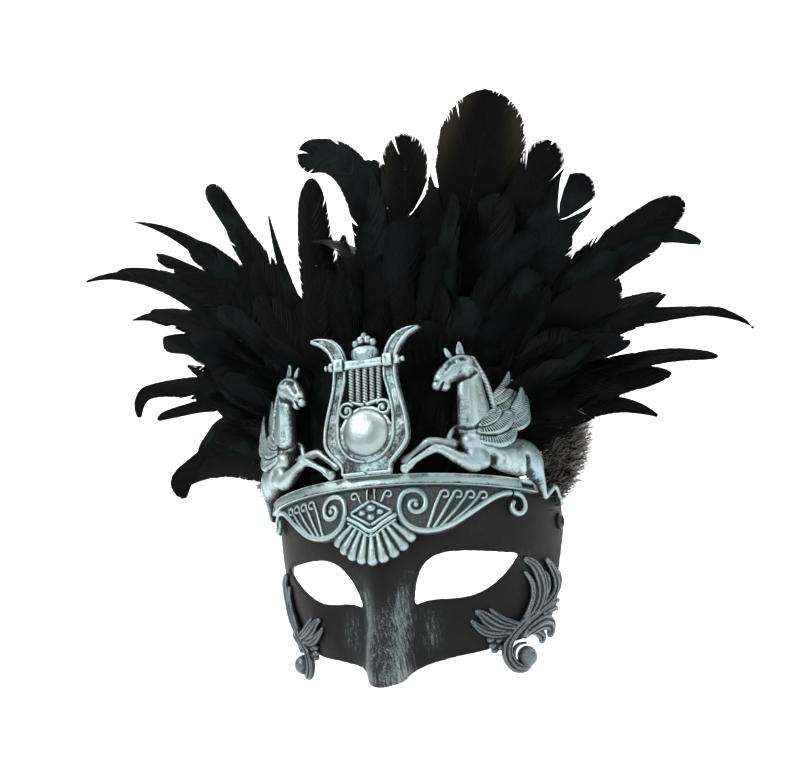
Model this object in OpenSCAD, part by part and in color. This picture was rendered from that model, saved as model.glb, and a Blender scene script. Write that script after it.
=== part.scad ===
// Half mask for a masquerade ball: a moulded black shell with a silvered
// crown (rail, scroll apron, lyre and two winged horses), acanthus cheek
// ornaments and a high fan of black plumes.
// Millimetres. The mask faces -Y, +X is its left-hand side as seen by the
// wearer's guests, +Z is up. The origin lies on the mid-plane, level with the
// inner corners of the eye holes, at the depth of the brow.

/* [Shell] */
// Width across the temples
shell_w = 160; // [156:1:166]
// Depth from the brow back to the temples
shell_depth = 76; // [74:1:80]
// Thickness of the moulded wall
shell_t = 2.4; // [1.8:0.1:3]
// How far the nose stands out at its tip
nose_h = 22; // [18:1:24]

/* [Crown] */
// Radius of the crown band
crown_r = 83; // [82:0.5:86]
// Height of the rail above the inner eye corners
crown_z = 62; // [60:0.5:64]
// Backward lean of the band, in degrees
crown_tilt = 20; // [17:1:23]
// Length of the rail each side of the middle, along its curve
rail_half = 87; // [80:1:90]
// Height of the rail
rail_h = 6.1; // [5:0.1:7]

/* [Lyre] */
// Backward lean of the lyre, in degrees
lyre_lean = 16.5; // [14:0.5:19]
// Thickness of its plate
lyre_t = 3.2; // [2.4:0.2:4]
// Radius of the round boss in its sound box
boss_r = 13; // [11:0.5:14]

/* [Ribbon eyelets] */
// Radius of the hole for the ribbon
eyelet_r = 2.5; // [2:0.25:3]
// Length of the eyelet through the shell
eyelet_len = 6; // [5:0.5:8]

/* [Plumes] */
// Thickness of a plume at its shaft
plume_t = 1.6; // [1:0.1:2.4]

/* [Hidden] */

silver = [0.68, 0.74, 0.74];
pewter = [0.42, 0.47, 0.48];
black = [0.08, 0.08, 0.09];
plume_black = [0.05, 0.06, 0.07];
fluff_grey = [0.38, 0.36, 0.33];
eps = 0.02;

// ---------------------------------------------------------------- shared maths

function clamp01(x) = max(0, min(1, x));
function smooth(a, b, x) = let (s = clamp01((x - a) / (b - a))) s * s * (3 - 2 * s);
function bell(x, at, width) = exp(-pow((x - at) / width, 2));
function unit(v) = v / max(norm(v), 1e-9);
function lerp(a, b, s) = a + (b - a) * s;
function curve(a, b, c, d, s) =
    a * pow(1 - s, 3) + b * 3 * s * pow(1 - s, 2) + c * 3 * s * s * (1 - s) + d * pow(s, 3);
function curve_path(a, b, c, d, n) = [for (i = [0:n]) curve(a, b, c, d, i / n)];
// a spiral about a point, from one radius and angle to another
function spiral(at, r0, r1, a0, a1, n) =
    [for (i = [0:n]) at + lerp(r0, r1, i / n) * [cos(lerp(a0, a1, i / n)), sin(lerp(a0, a1, i / n))]];
function tangent(path, i) = unit(path[min(i + 1, len(path) - 1)] - path[max(i - 1, 0)]);
function side_of(path, i) = let (t = tangent(path, i)) [-t[1], t[0]];
// outline of a strip that follows a path, its half width going from w0 to w1
function strip(path, w0, w1) =
    let (n = len(path) - 1)
    concat(
        [for (i = [0:n]) path[i] + side_of(path, i) * lerp(w0, w1, i / n)],
        [for (i = [n:-1:0]) path[i] - side_of(path, i) * lerp(w0, w1, i / n)]
    );

// Faces of a solid skinned over n loops of m points each; the two end loops
// are closed with a zigzag of triangles.
function loft_faces(n, m) = concat(
    [for (i = [0:n - 2], k = [0:m - 1]) [i * m + k, i * m + (k + 1) % m, (i + 1) * m + k]],
    [for (i = [0:n - 2], k = [0:m - 1])
        [i * m + (k + 1) % m, (i + 1) * m + (k + 1) % m, (i + 1) * m + k]],
    [for (k = [0:m / 2 - 2]) [k + 1, k, m - 2 - k]],
    [for (k = [0:m / 2 - 2]) [k, m - 1 - k, m - 2 - k]],
    [for (k = [0:m / 2 - 2]) let (e = (n - 1) * m) [e + k, e + k + 1, e + m - 2 - k]],
    [for (k = [0:m / 2 - 2]) let (e = (n - 1) * m) [e + k, e + m - 2 - k, e + m - 1 - k]]
);
module loft(loops) {
    polyhedron(
        points = [for (loop = loops, p = loop) p],
        faces = loft_faces(len(loops), len(loops[0])),
        convexity = 6
    );
}

// ---------------------------------------------------------------- mask shell

brow_y = 1.5;
function front_y(z) = brow_y + 0.00315 * pow(max(z - 15, 0), 2) + 5 * smooth(20, -12, z);
// Point of the shell at an angle round the head and a height, sunk by a depth
function shell_pt(t, z, sunk) =
    let (
        a = shell_w / 2 - 6 * smooth(0, -40, z) - sunk,
        x = a * sin(t),
        ax = abs(x),
        round_head = front_y(z) + sunk + (shell_depth - sunk) * (1 - cos(t)),
        eye_socket = 6.5 * bell(ax, 34, 24) * bell(z, 8, 15),
        cheek = 3 * bell(ax, 38, 16) * bell(z, -18, 12),
        nose_w = 7.5 + 5 * smooth(5, -30, z) - 0.8 * sunk,
        nose = (2 + (nose_h - 2) * smooth(22, -32, z)) * exp(-pow(ax / nose_w, 2.6))
    )
    [x, round_head + eye_socket - cheek - nose, z];
// Lower edge: nose tip, notch beside it, cheek, then up the side to the temple
function low_edge(t) = lookup(abs(t), [
    [0, -34], [7, -34], [9, -31.5], [14, -30], [24, -28], [40, -27], [62, -26], [67, -24],
    [70, -18], [73, -4], [77, 6], [82, 14], [90, 25]
]);
// Upper edge: just behind the rail, falling back with the lean of the crown
function top_edge(t) =
    let (y = shell_pt(t, crown_z - 0.2 * (1 - cos(t)) * shell_depth, 0)[1])
    crown_z + 2.1 - tan(crown_tilt) * (y - 8);

shell_cols = 52;
shell_rows = 17;
function column_t(i) = -88 + 176 * i / shell_cols;
function shell_loop(t) = let (lo = low_edge(t), hi = top_edge(t)) concat(
    [for (k = [0:shell_rows]) shell_pt(t, lerp(lo, hi, k / shell_rows), 0)],
    [for (k = [shell_rows:-1:0]) shell_pt(t, lerp(lo, hi, k / shell_rows), shell_t)]
);
// Right eye hole seen from the front, from the inner corner over the top
eye_outline = concat(
    curve_path([13.5, -1], [16, 14], [21, 24.5], [34, 24.2], 8),
    curve_path([34, 24.2], [42, 24], [52, 21.5], [63.5, 17.5], 5),
    curve_path([63.5, 17.5], [58, 9], [49, 0.5], [37, 0.2], 6),
    curve_path([37, 0.2], [28, 0], [20, 3], [13.5, -1], 5)
);
module eye_hole(side) {
    scale([side, 1, 1])
    translate([0, 90, 0])
    rotate([90, 0, 0])
    linear_extrude(130)
    polygon(eye_outline);
}
eyelet_at = shell_pt(82, 27, shell_t / 2);
eyelet_turn = 84;
module place_eyelet(side) {
    translate([side * eyelet_at[0], eyelet_at[1], eyelet_at[2]])
    rotate([0, 90, side > 0 ? eyelet_turn - 90 : 90 - eyelet_turn + 180])
    children();
}
module mask_shell() {
    color(black)
    difference() {
        loft([for (i = [0:shell_cols]) shell_loop(column_t(i))]);
        eye_hole(1);
        mirror([1, 0, 0]) eye_hole(1);
        place_eyelet(1) translate([0, 0, -8]) cylinder(r = eyelet_r + 0.9, h = 16, $fn = 24);
        place_eyelet(-1) translate([0, 0, -8]) cylinder(r = eyelet_r + 0.9, h = 16, $fn = 24);
    }
}

// Felt strip glued inside the shell's top edge, over the ends of the quills
felt_t = 1.6;
felt_h = 15;
function felt_loop(t) =
    let (hi = top_edge(t) - 2)
    [for (p = [[hi - felt_h, 0], [hi, 0], [hi, felt_t], [hi - felt_h, felt_t]])
        shell_pt(t, p[0], shell_t + 0.15 + p[1])];
module felt_strip() {
    color("dimgray")
    loft([for (i = [0:24]) felt_loop(-72 + 6 * i)]);
}

module eyelet(side) {
    color(black)
    place_eyelet(side)
    difference() {
        union() {
            translate([0, 0, -eyelet_len / 2]) cylinder(r = eyelet_r + 0.8, h = eyelet_len, $fn = 48);
            translate([0, 0, shell_t / 2 + 0.3]) cylinder(r = eyelet_r + 2, h = 0.9, $fn = 48);
        }
        translate([0, 0, -eyelet_len]) cylinder(r = eyelet_r, h = 2 * eyelet_len, $fn = 48);
    }
}

// ---------------------------------------------------------------- crown

// Local crown axes: x across, y back, z up the leaning band
module on_crown() {
    translate([0, 8, crown_z]) rotate([-crown_tilt, 0, 0]) children();
}
function deg(arc) = arc / crown_r * 180 / PI;
// Flat x of a point given by its arc length along the band
function flat(p) = [crown_r * sin(deg(p[0])), p[1]];
function flats(path) = [for (p = path) flat(p)];
function flip(path) = [for (p = path) [-p[0], p[1]]];
// Point of the crown space: arc along the band, height up it, distance out
function crown_pt(u, v, w) =
    let (
        x = (crown_r + w) * sin(deg(u)),
        y = crown_r - (crown_r + w) * cos(deg(u)),
        c = cos(crown_tilt),
        s = sin(crown_tilt)
    )
    [x, 8 + y * c + v * s, crown_z - y * s + v * c];

// Bends a flat drawing round the band, between two distances from it
module relief(w0, w1) {
    on_crown()
    intersection() {
        translate([0, crown_r, -60])
        difference() {
            cylinder(r = crown_r + w1, h = 120, $fn = 180);
            translate([0, 0, -1]) cylinder(r = crown_r + w0, h = 122, $fn = 180);
        }
        translate([0, crown_r - 15, 0]) rotate([90, 0, 0]) linear_extrude(crown_r + 10) children();
    }
}

module crown_rail() {
    half = deg(rail_half);
    h = rail_h / 2;
    color(silver)
    on_crown()
    translate([0, crown_r, 0])
    rotate([0, 0, -90 - half])
    rotate_extrude(angle = 2 * half, $fn = 180)
    polygon([
        [crown_r, -h], [crown_r + 3, -h], [crown_r + 3.8, -h + 1.1], [crown_r + 3.4, 0],
        [crown_r + 3.8, h - 1.1], [crown_r + 3, h], [crown_r, h]
    ]);
}

// Half outline of the apron below the rail: middle notch, lobe, long taper
apron_half = concat(
    [[0, -25.8], [12.6, -18.2]],
    curve_path([13.2, -18.6], [16, -27.5], [30, -31], [44, -20.8], 9),
    curve_path([44, -20.8], [54, -14], [60, -6.5], [70, -4.2], 6),
    [[72, -rail_h / 2], [0, -rail_h / 2]]
);
module both_sides() {
    children();
    mirror([1, 0]) children();
}
module scroll_apron() {
    color(pewter)
    on_crown()
    intersection() {
        // its back follows the brow, so it grows thicker downwards
        translate([0, crown_r, 0])
        rotate_extrude($fn = 180)
        polygon([
            [crown_r + 0.1, -rail_h / 2], [crown_r + 1, -rail_h / 2], [crown_r + 1, -30],
            [crown_r - 3.4, -30], [crown_r - 1.8, -16]
        ]);
        translate([0, crown_r - 15, 0])
        rotate([90, 0, 0])
        linear_extrude(crown_r + 10)
        both_sides()
        polygon(flats(apron_half));
    }
}

// Cord that edges the apron: it starts in the small end curl, sweeps in under
// the ribs, climbs round the lobe and winds up in the large spiral
cord_half = 1.35;
end_curl = spiral([74.4, -10.8], 1.8, 6.4, -250, 110, 20);
lower_sweep = concat(
    curve_path([72, -4.7], [62, -5], [55, -12.5], [44, -19.4], 7),
    curve_path([44, -19.4], [30, -29], [16, -27], [13.6, -15], 9)
);
large_spiral = spiral([21.6, -12.4], 8.2, 2.2, 190, -290, 32);
module border_cord(side) {
    color(silver)
    relief(0.6, 3.2)
    scale([side, 1])
    offset(delta = 0.05)
    for (piece = [end_curl, lower_sweep, large_spiral])
        polygon(flats(strip(piece, cord_half, cord_half)));
}

// Four slender ribs per side, rising from one root to small curled heads
rib_half = 0.75;
function rib_path(k) =
    let (head = [36.4 + 6.4 * k, -7.4])
    concat(
        curve_path(
            [27.5 + 2.9 * k, -24.6 + 0.25 * k], [30 + 4 * k, -19], [31 + 6.2 * k, -13],
            head + [-2.3, 0], 6
        ),
        spiral(head, 2.3, 1, 160, -170, 10)
    );
module rib_scrolls(side) {
    color(silver)
    relief(0.6, 2.4)
    scale([side, 1])
    offset(delta = 0.05)
    for (k = [0:3])
        polygon(flats(strip(rib_path(k), rib_half, rib_half)));
}

chevron_tip = -24.4;
module chevron_bar() {
    color(silver)
    relief(0.6, 3)
    offset(delta = 0.05)
    union() {
        polygon([
            [0, chevron_tip - 1.5], [13.4, -17.9], [13.4, -15.2], [0, chevron_tip + 1.3],
            [-13.4, -15.2], [-13.4, -17.9]
        ]);
        // stem under the rail and the two small tendrils beside it
        both_sides() polygon([[1.6, -3], [2.6, -3], [2.6, -9.2], [1.6, -9.8]]);
        both_sides() polygon(strip(
            concat(
                curve_path([4.6, -10.2], [6.5, -9.6], [6, -6], [8.6, -5.2], 5),
                spiral([9.4, -6.9], 1.9, 0.9, 110, -170, 8)
            ), 0.65, 0.65
        ));
    }
}
diamond_x = 11;
diamond_top = -9.4;
diamond_bottom = -21.6;
module diamond_outline(inset) {
    mid = (diamond_top + diamond_bottom) / 2;
    half = (diamond_top - diamond_bottom) / 2;
    polygon([
        [0, mid + half - inset], [diamond_x - inset * 1.8, mid + 0.3],
        [0, mid - half + inset], [-diamond_x + inset * 1.8, mid + 0.3]
    ]);
}
module diamond_frame() {
    color(silver)
    relief(0.6, 2.8)
    difference() {
        diamond_outline(0);
        diamond_outline(1.5);
    }
}
module diamond_pearls() {
    color(silver)
    on_crown()
    for (p = [[0, -13, 2.4], [-4.6, -15.4, 1.8], [4.6, -15.4, 1.8], [0, -17.9, 2]])
        translate([p[0], -1.1, p[1]])
        scale(1)
        sphere(r = p[2], $fn = 32);
}

// Palmette of nine tapered flutes spreading from below the chevron
flutes = 9;
flute_step = 12.6;
module palmette_fan() {
    color(silver)
    relief(-2.8, 2)
    difference() {
        for (i = [0:flutes - 1]) {
            k = i - (flutes - 1) / 2;
            translate([0, -12])
            rotate(k * flute_step)
            union() {
                polygon([[-1.3, -8], [1.3, -8], [2.75, -27.5 + abs(k) * 0.5], [-2.75, -27.5 + abs(k) * 0.5]]);
                translate([0, -27.2 + abs(k) * 0.5]) circle(r = 2.7, $fn = 32);
            }
        }
        // it starts below the chevron and the apron's lobes
        both_sides() polygon([[0, chevron_tip - 1.5], [13.4, -18], [13.4, 0], [0, 0]]);
        both_sides() polygon(flats(apron_half));
    }
}

// ---------------------------------------------------------------- lyre

// Plate axes: x across, y up the plate, z out of its face
module on_lyre(out) {
    translate([0, 5, 66.1])
    rotate([90 - lyre_lean, 0, 0])
    translate([0, 0, out])
    children();
}
lyre_top = 56;
lyre_outer = concat(
    [[12.6, -1], [13, 2]],
    curve_path([13.4, 4.5], [17, 9.5], [23.4, 12.5], [22.9, 20], 7),
    curve_path([22.9, 20], [22.4, 33], [17.2, 40], [17.2, lyre_top], 8)
);
lyre_inner = concat(
    [[9.9, lyre_top]],
    curve_path([10, 50], [11.4, 43], [14.8, 37], [14.2, 25], 6)
);
horn = concat(
    curve_path([17.2, lyre_top], [17.2, 63], [21.5, 70.5], [30.7, 73], 8),
    curve_path([30.7, 73], [22, 75.5], [12.2, 73], [9.9, 60], 8),
    [[9.9, lyre_top]]
);
module lyre_side_shape() {
    polygon(concat(lyre_outer, lyre_inner, [[13, 18], [6.4, 8.6], [0, 7], [0, -1]]));
    polygon(horn);
}
// Open in the middle, where the boss and the strings stand
module lyre_plate() {
    color(pewter)
    on_lyre(0)
    linear_extrude(lyre_t)
    difference() {
        union() {
            both_sides() lyre_side_shape();
            translate([0, 21]) circle(r = boss_r + 1, $fn = 64);
        }
        translate([0, 21]) circle(r = boss_r - 3, $fn = 64);
    }
}
// Raised rims that follow both edges of the arms and the horns
rim_half = 0.8;
module lyre_rims() {
    inner_run = concat(
        curve_path([15.1, 22], [15.6, 36], [12.2, 43], [10.8, 50], 8),
        [[10.8, lyre_top - 2]]
    );
    color(silver)
    on_lyre(lyre_t - eps)
    linear_extrude(1.6)
    offset(delta = 0.02)
    both_sides() {
        intersection() {
            polygon(strip(concat([[12.6, 0]], lyre_outer), 1.5, 1.5));
            lyre_side_shape();
        }
        polygon(strip(inner_run, rim_half, rim_half));
        intersection() {
            difference() {
                polygon(horn);
                translate([1, -0.6]) polygon([for (p = horn) lerp(p, [17.5, 66], 0.28)]);
            }
            translate([0, lyre_top + 4]) square([40, 30]);
        }
        translate([0, 0.2]) square([12.8, 1.8]);
    }
}
module lyre_boss() {
    color(silver)
    on_lyre(lyre_t - 5.4)
    translate([0, 21.4, 0])
    intersection() {
        translate([0, 0, -6]) sphere(r = sqrt(boss_r * boss_r + 36) , $fn = 96);
        cylinder(r = boss_r, h = 20, $fn = 96);
    }
}
module lyre_volutes() {
    color(silver)
    on_lyre(lyre_t - 1.6)
    linear_extrude(3.6)
    both_sides()
    union() {
        polygon(strip(spiral([9.8, 33], 4.4, 1.6, 150, -260, 22), 1, 1));
        translate([9.8, 33]) circle(r = 1.4, $fn = 24);
        polygon([[0, 34.6], [8.6, 36.4], [8.4, 38.4], [0, 37]]);
    }
}
string_gap = 3.8;
module lyre_strings() {
    color(silver)
    on_lyre(1.8)
    for (k = [-2:2])
        translate([k * string_gap, 36.4, 0])
        rotate([-90, 0, 0])
        cylinder(r = 1.3, h = 19.4, $fn = 24);
}
bar_half = 20.6;
module lyre_crossbar() {
    color(silver)
    on_lyre(lyre_t)
    union() {
        translate([-bar_half, 57, 0.6]) rotate([0, 90, 0]) cylinder(r = 2, h = 2 * bar_half, $fn = 32);
        for (side = [-1, 1]) {
            translate([side * 12.2 - 2.6, 53.6, -1]) cube([5.2, 7, 4.2]);
            translate([side * (bar_half + 0.6), 57, 0.6]) sphere(r = 2.5, $fn = 32);
        }
    }
}
module lyre_finial() {
    color(silver)
    on_lyre(lyre_t / 2)
    union() {
        translate([0, 60, 0])
        rotate([-90, 0, 0])
        rotate_extrude($fn = 48)
        polygon([[0, -3], [5, -3], [6.4, -1], [7.7, 2.4], [6.6, 5.6], [4.2, 6.6], [0, 6.6]]);
        for (b = [[-4.7, 68.2, 2.1], [-1.6, 69.6, 2.3], [1.8, 69.6, 2.3], [4.9, 68.2, 2.1], [0, 72, 1.9]])
            translate([b[0], b[1], 0.6]) sphere(r = b[2], $fn = 32);
    }
}

// ---------------------------------------------------------------- winged horses

// A limb is a run of stations in crown space: arc, height, distance out, half
// width across the limb and half thickness; it is skinned as one solid.
limb_sides = 10;
function limb_loop(stations, i, side) =
    let (
        s = stations[i],
        last = len(stations) - 1,
        a = stations[max(i - 1, 0)],
        b = stations[min(i + 1, last)],
        dir = unit([b[0] - a[0], b[1] - a[1]])
    )
    [for (k = [0:limb_sides - 1]) let (q = 360 * (k + 0.5) / limb_sides)
        crown_pt(
            side * (s[0] - dir[1] * s[3] * cos(q)),
            s[1] + dir[0] * s[3] * cos(q),
            s[2] + s[4] * sin(q)
        )];
// Convex links between neighbouring loops, joined end to end
module chain(loops) {
    for (i = [0:len(loops) - 2])
        hull()
        loft([loops[i], loops[i + 1]]);
}
module limb(stations, side) {
    chain([for (i = [0:len(stations) - 1]) limb_loop(stations, i, side)]);
}

torso = [
    [43, 20, 8, 2.5, 2], [47, 18, 7.5, 8.5, 5.5], [54, 16.5, 7, 8.6, 6.2], [62, 14.8, 6, 7.6, 6],
    [69, 13.6, 5.4, 7.4, 6], [76, 14.2, 5, 8.6, 6.2], [82, 14.4, 4.6, 7.6, 5.6], [87, 11.6, 4.4, 3, 2.4]
];
neck = [
    [51, 18, 7.5, 9.6, 4.6], [50.4, 27, 9, 8.6, 4.4], [49.4, 36, 10.4, 7.4, 4],
    [47.4, 45, 11.4, 6.2, 3.6], [45, 53, 12, 5.6, 3.5], [42.6, 59.6, 12.4, 4.4, 3]
];
head = [
    [45.4, 59, 12.4, 4.6, 3], [41.4, 57.6, 12.6, 5.6, 3.6], [38, 54.4, 12.8, 5, 3.4],
    [35.4, 50.4, 13, 4, 2.9], [33.4, 46.4, 13, 3.4, 2.6], [32, 43.6, 13, 2.2, 1.8]
];
ear_tall = [[42.6, 60.6, 13, 1.6, 1.2], [42.8, 64, 13, 1.5, 1], [43, 67.6, 12.6, 0.4, 0.4]];
ear_small = [[38.2, 60, 12, 1.2, 1], [37, 62.4, 12, 1, 0.8], [36.4, 65, 12, 0.3, 0.3]];
near_foreleg = [
    [47, 12.8, 9, 4.2, 3.6], [41, 13.2, 9.4, 3.4, 2.8], [35, 13.8, 9.4, 2.6, 2.2],
    [31.6, 12.8, 9.2, 2.2, 2], [26.6, 9.6, 9, 1.7, 1.5], [21.4, 6.4, 8.4, 1.5, 1.4],
    [17.6, 4.6, 8, 2, 1.7], [14.6, 3.6, 7.6, 2.2, 1.8]
];
far_foreleg = [
    [44, 19, 4.6, 3, 2.4], [37, 19, 4.4, 2.6, 2.2], [31.4, 18.4, 4.2, 2.2, 1.9],
    [26.6, 15.6, 4, 1.7, 1.5], [21.6, 12, 3.8, 1.5, 1.3], [17.6, 9.4, 3.6, 1.8, 1.5]
];
hind_leg = [
    [78, 12, 5, 7, 4.4], [83.6, 9, 5, 5.6, 3.8], [88.4, 4.4, 4.6, 3.4, 2.6],
    [92.6, 0, 3.6, 2, 1.7], [96.8, -4.2, 2.6, 1.4, 1.2]
];
far_hoof = [
    [96, -4.6, 2.4, 1.2, 1], [99.6, -1, 2.4, 1.2, 1], [103.4, 2.6, 2.4, 1.2, 1]
];
far_shin = [
    [102.8, 2.8, 2.4, 1.2, 1], [106.4, -1.2, 2.2, 1.1, 0.9], [110, -5, 2, 1.3, 1]
];
module horse(side) {
    color(silver)
    union() {
        for (part = [
            torso, neck, head, ear_tall, ear_small, near_foreleg, far_foreleg, hind_leg, far_hoof,
            far_shin
        ])
            limb(part, side);
    }
}
// Mane: overlapping locks down the crest of the neck
mane_locks = [
    [46.4, 60.4, 52.4, 54.4], [48.4, 56.4, 55.8, 48.6], [50.6, 51.6, 58.4, 43],
    [52.4, 46.6, 60.6, 37.4], [54, 41.6, 61.6, 32], [55, 36.4, 61.6, 27.4]
];
module mane(side) {
    color(silver)
    for (m = mane_locks)
        limb([
            [m[0], m[1], 12.4, 2.2, 2.4],
            [lerp(m[0], m[2], 0.5) + 1.4, lerp(m[1], m[3], 0.5) + 1.6, 11.6, 2.4, 2.2],
            [m[2], m[3], 10.4, 0.8, 0.8]
        ], side);
}
// Wing feathers fan out from the shoulder; each row is a root angle, a length
// and an angle, all about the wing's shoulder
shoulder = [50, 21];
function quill(angle, start, reach, out, half) = [
    [shoulder[0] + start * cos(angle), shoulder[1] + start * sin(angle), out, half * 0.8, 1.5],
    [shoulder[0] + lerp(start, reach, 0.55) * cos(angle),
        shoulder[1] + lerp(start, reach, 0.55) * sin(angle), out + 0.8, half, 1.7],
    [shoulder[0] + reach * cos(angle + 2), shoulder[1] + reach * sin(angle + 2), out, half * 0.35, 0.8]
];
near_quills = [
    [-8, 3, 17], [2, 3, 20], [11, 3, 22.5], [20, 4, 25], [29, 5, 28], [37.5, 6, 31], [45, 8, 34.5]
];
far_quills = [[42, 14, 31], [50, 12, 32.5], [58, 10, 30], [66, 8, 25]];
module wing_near(side) {
    color(silver)
    for (q = near_quills)
        limb(quill(q[0], q[1], q[2], 14, 2.7), side);
}
module wing_far(side) {
    color(silver)
    for (q = far_quills)
        limb(quill(q[0], q[1], q[2], 9.6, 2.3), side);
}

// ---------------------------------------------------------------- cheek ornaments

// Acanthus leaves on the shell: each is a run of stations given by the angle
// round the head and the height on the shell, the distance out and half width
leaf_sides = 8;
leaf_breadth = 1.35;
function shell_normal(t, z) =
    unit(cross(
        shell_pt(t + 1, z, 0) - shell_pt(t - 1, z, 0),
        shell_pt(t, z + 1, 0) - shell_pt(t, z - 1, 0)
    ));
function leaf_loop(stations, i, side) =
    let (
        s = stations[i],
        last = len(stations) - 1,
        a = stations[max(i - 1, 0)],
        b = stations[min(i + 1, last)],
        here = shell_pt(s[0], max(s[1], -25), 0) + [0, 0, min(s[1] + 25, 0)],
        out = shell_normal(s[0], max(s[1], -22)),
        along = unit(
            shell_pt(b[0], max(b[1], -25), 0) + [0, 0, min(b[1] + 25, 0)]
            - shell_pt(a[0], max(a[1], -25), 0) - [0, 0, min(a[1] + 25, 0)]
        ),
        across = unit(cross(along, out)),
        p = here + out * s[2]
    )
    [for (k = [0:leaf_sides - 1]) let (
        q = 360 * (k + 0.5) / leaf_sides,
        v = p + across * leaf_breadth * s[3] * cos(q) + out * 1.6 * min(1, s[3]) * sin(q)
    ) [side * v[0], v[1], v[2]]];
module leaf(stations, side) {
    chain([for (i = [0:len(stations) - 1]) leaf_loop(stations, i, side)]);
}
cheek_leaves_plan = [
    [[58, 13, 1, 0.4], [62, 8, 1.8, 2.2], [63, -2, 2.4, 3.2], [58, -14, 2.6, 3.4], [50, -24, 2.4, 2.6]],
    [[71, 13, 1, 0.4], [73, 6, 1.8, 2], [70, -4, 2.4, 3], [63, -15, 2.6, 3.2], [54, -25, 2.4, 2.4]],
    [[52, 4, 0.8, 0.4], [57, -2, 1.6, 2], [57, -10, 2.2, 2.6], [51, -19, 2.4, 2.4]],
    [[35, -6, 0.8, 0.5], [38, -12, 2, 2.6], [43, -18, 2.8, 3], [48, -24, 2.6, 2.4]],
    [[34, -15, 0.8, 0.5], [38, -19, 2, 2.4], [44, -23, 2.8, 2.6], [50, -26, 2.6, 2.2]],
    [[71, -9, 0.8, 0.5], [70, -14, 1.8, 2.2], [65, -19, 2.6, 2.6], [57, -24, 2.6, 2.2]],
    [[72, -19, 0.8, 0.5], [69, -22, 1.8, 2], [63, -24.5, 2.4, 2.2], [56, -27, 2.4, 2]],
    [[54, -24, 2.4, 2.2], [46.5, -28, 2.6, 2.4], [43, -34, 2.8, 2.4], [46, -39, 2.8, 2.3],
        [51.5, -41, 2.8, 2], [56, -37.5, 2.8, 1.6]]
];
module cheek_leaves(side) {
    color(pewter)
    for (plan = cheek_leaves_plan)
        leaf(plan, side);
}
pearl_at = shell_pt(51, -25, 0) + 3.4 * shell_normal(51, -22) + [0, 0, -9.5];
module cheek_pearl(side) {
    color(pewter)
    translate([side * pearl_at[0], pearl_at[1], pearl_at[2]])
    sphere(r = 3.8, $fn = 48);
}

// ---------------------------------------------------------------- plumes

// A plume runs from a root behind the rail, up along the lean of the crown,
// then out to its tip: [root arc, tip x, tip y, tip z, heading, half width, blunt].
// The heading is the way the tip points, in degrees from straight up towards +X.
plume_steps = 10;
function plume_root(u) = crown_pt(u, 3.5, -7);
function plume_mid(p, s) =
    let (
        root = plume_root(p[0]),
        tip = [p[1], p[2], p[3]],
        reach = norm(tip - root),
        rise = crown_pt(p[0] * 1.35, 3.5 + 0.42 * reach, -10),
        lead = tip - 0.34 * reach * [sin(p[4]), 0.15, cos(p[4])]
    )
    curve(root, rise, lead, tip, s);
// Slender at the quill, full past the middle; the tip is blunt (1) or pointed (0)
function plume_width(s, blunt) =
    let (q = clamp01((s - 0.5) / 0.5))
    lerp(0.16, 1, smooth(0, 0.6, s)) * lerp(1 - 0.9 * q, sqrt(1 - 0.98 * pow(q, 3)), blunt);
function plume_loop(p, i) =
    let (
        s = 1 - pow(1 - i / plume_steps, 1.5),
        c = plume_mid(p, s),
        along = unit(plume_mid(p, min(s + 0.02, 1)) - plume_mid(p, max(s - 0.02, 0))),
        across = unit(cross(along, [0.25, -1, 0.1])),
        face = cross(across, along),
        w = p[5] * plume_width(s, p[6])
    )
    [c + across * w, c + face * plume_t * 0.5, c - across * w, c - face * plume_t * 0.5];
module plumes(rows) {
    color(plume_black)
    for (p = rows)
        loft([for (i = [0:plume_steps]) plume_loop(p, i)]);
}
centre_front = [
    [-6, -12, 38, 172, -5, 13, 0.9], [12, 14, 36, 178, 4, 14, 0.9], [-24, -40, 42, 160, -14, 12, 0.8],
    [28, 44, 40, 176, 14, 13, 0.9], [-14, -28, 38, 140, -10, 12, 0.8], [20, 34, 36, 146, 12, 12, 0.8]
];
centre_back = [
    [6, 24, 60, 243, 3, 13, 1], [-10, 4, 56, 232, -6, 12, 0.9], [24, 74, 60, 256, 14, 20, 1],
    [-2, -40, 60, 240, -98, 9, 1], [-18, -29, 50, 227, 6, 14, 0.5], [-26, -55, 45, 212, -8, 6, 0],
    [16, 50, 56, 214, 12, 14, 0.9]
];
left_inner = [
    [-34, -97, 60, 237, -30, 6, 1], [-32, -84, 52, 214, -34, 13, 0.4], [-38, -112, 56, 205, -52, 13, 0.5],
    [-44, -92, 48, 180, -40, 14, 0.6], [-36, -66, 44, 186, -26, 13, 0.7]
];
right_inner = [
    [34, 102, 60, 224, 28, 12, 1], [36, 118, 62, 203, 42, 13, 0.9], [42, 104, 56, 180, 38, 14, 0.8],
    [30, 74, 50, 200, 22, 14, 0.9], [46, 96, 50, 150, 42, 13, 0.8]
];
left_outer = [
    [-50, -145, 52, 223, -74, 9, 0], [-54, -188, 60, 194, -98, 9, 0], [-56, -166, 62, 197, -84, 9, 0.2],
    [-52, -132, 58, 188, -74, 12, 0.4], [-60, -150, 62, 168, -88, 13, 0.3],
    [-58, -118, 54, 164, -66, 13, 0.5]
];
right_outer = [
    [50, 163, 68, 183, 66, 13, 0.7], [54, 169, 70, 160, 124, 10, 0.2], [58, 150, 66, 165, 74, 10, 0.5],
    [60, 189, 70, 114, 136, 9, 0], [56, 128, 62, 160, 62, 13, 0.7], [62, 151, 70, 133, 92, 12, 0.8]
];
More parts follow.
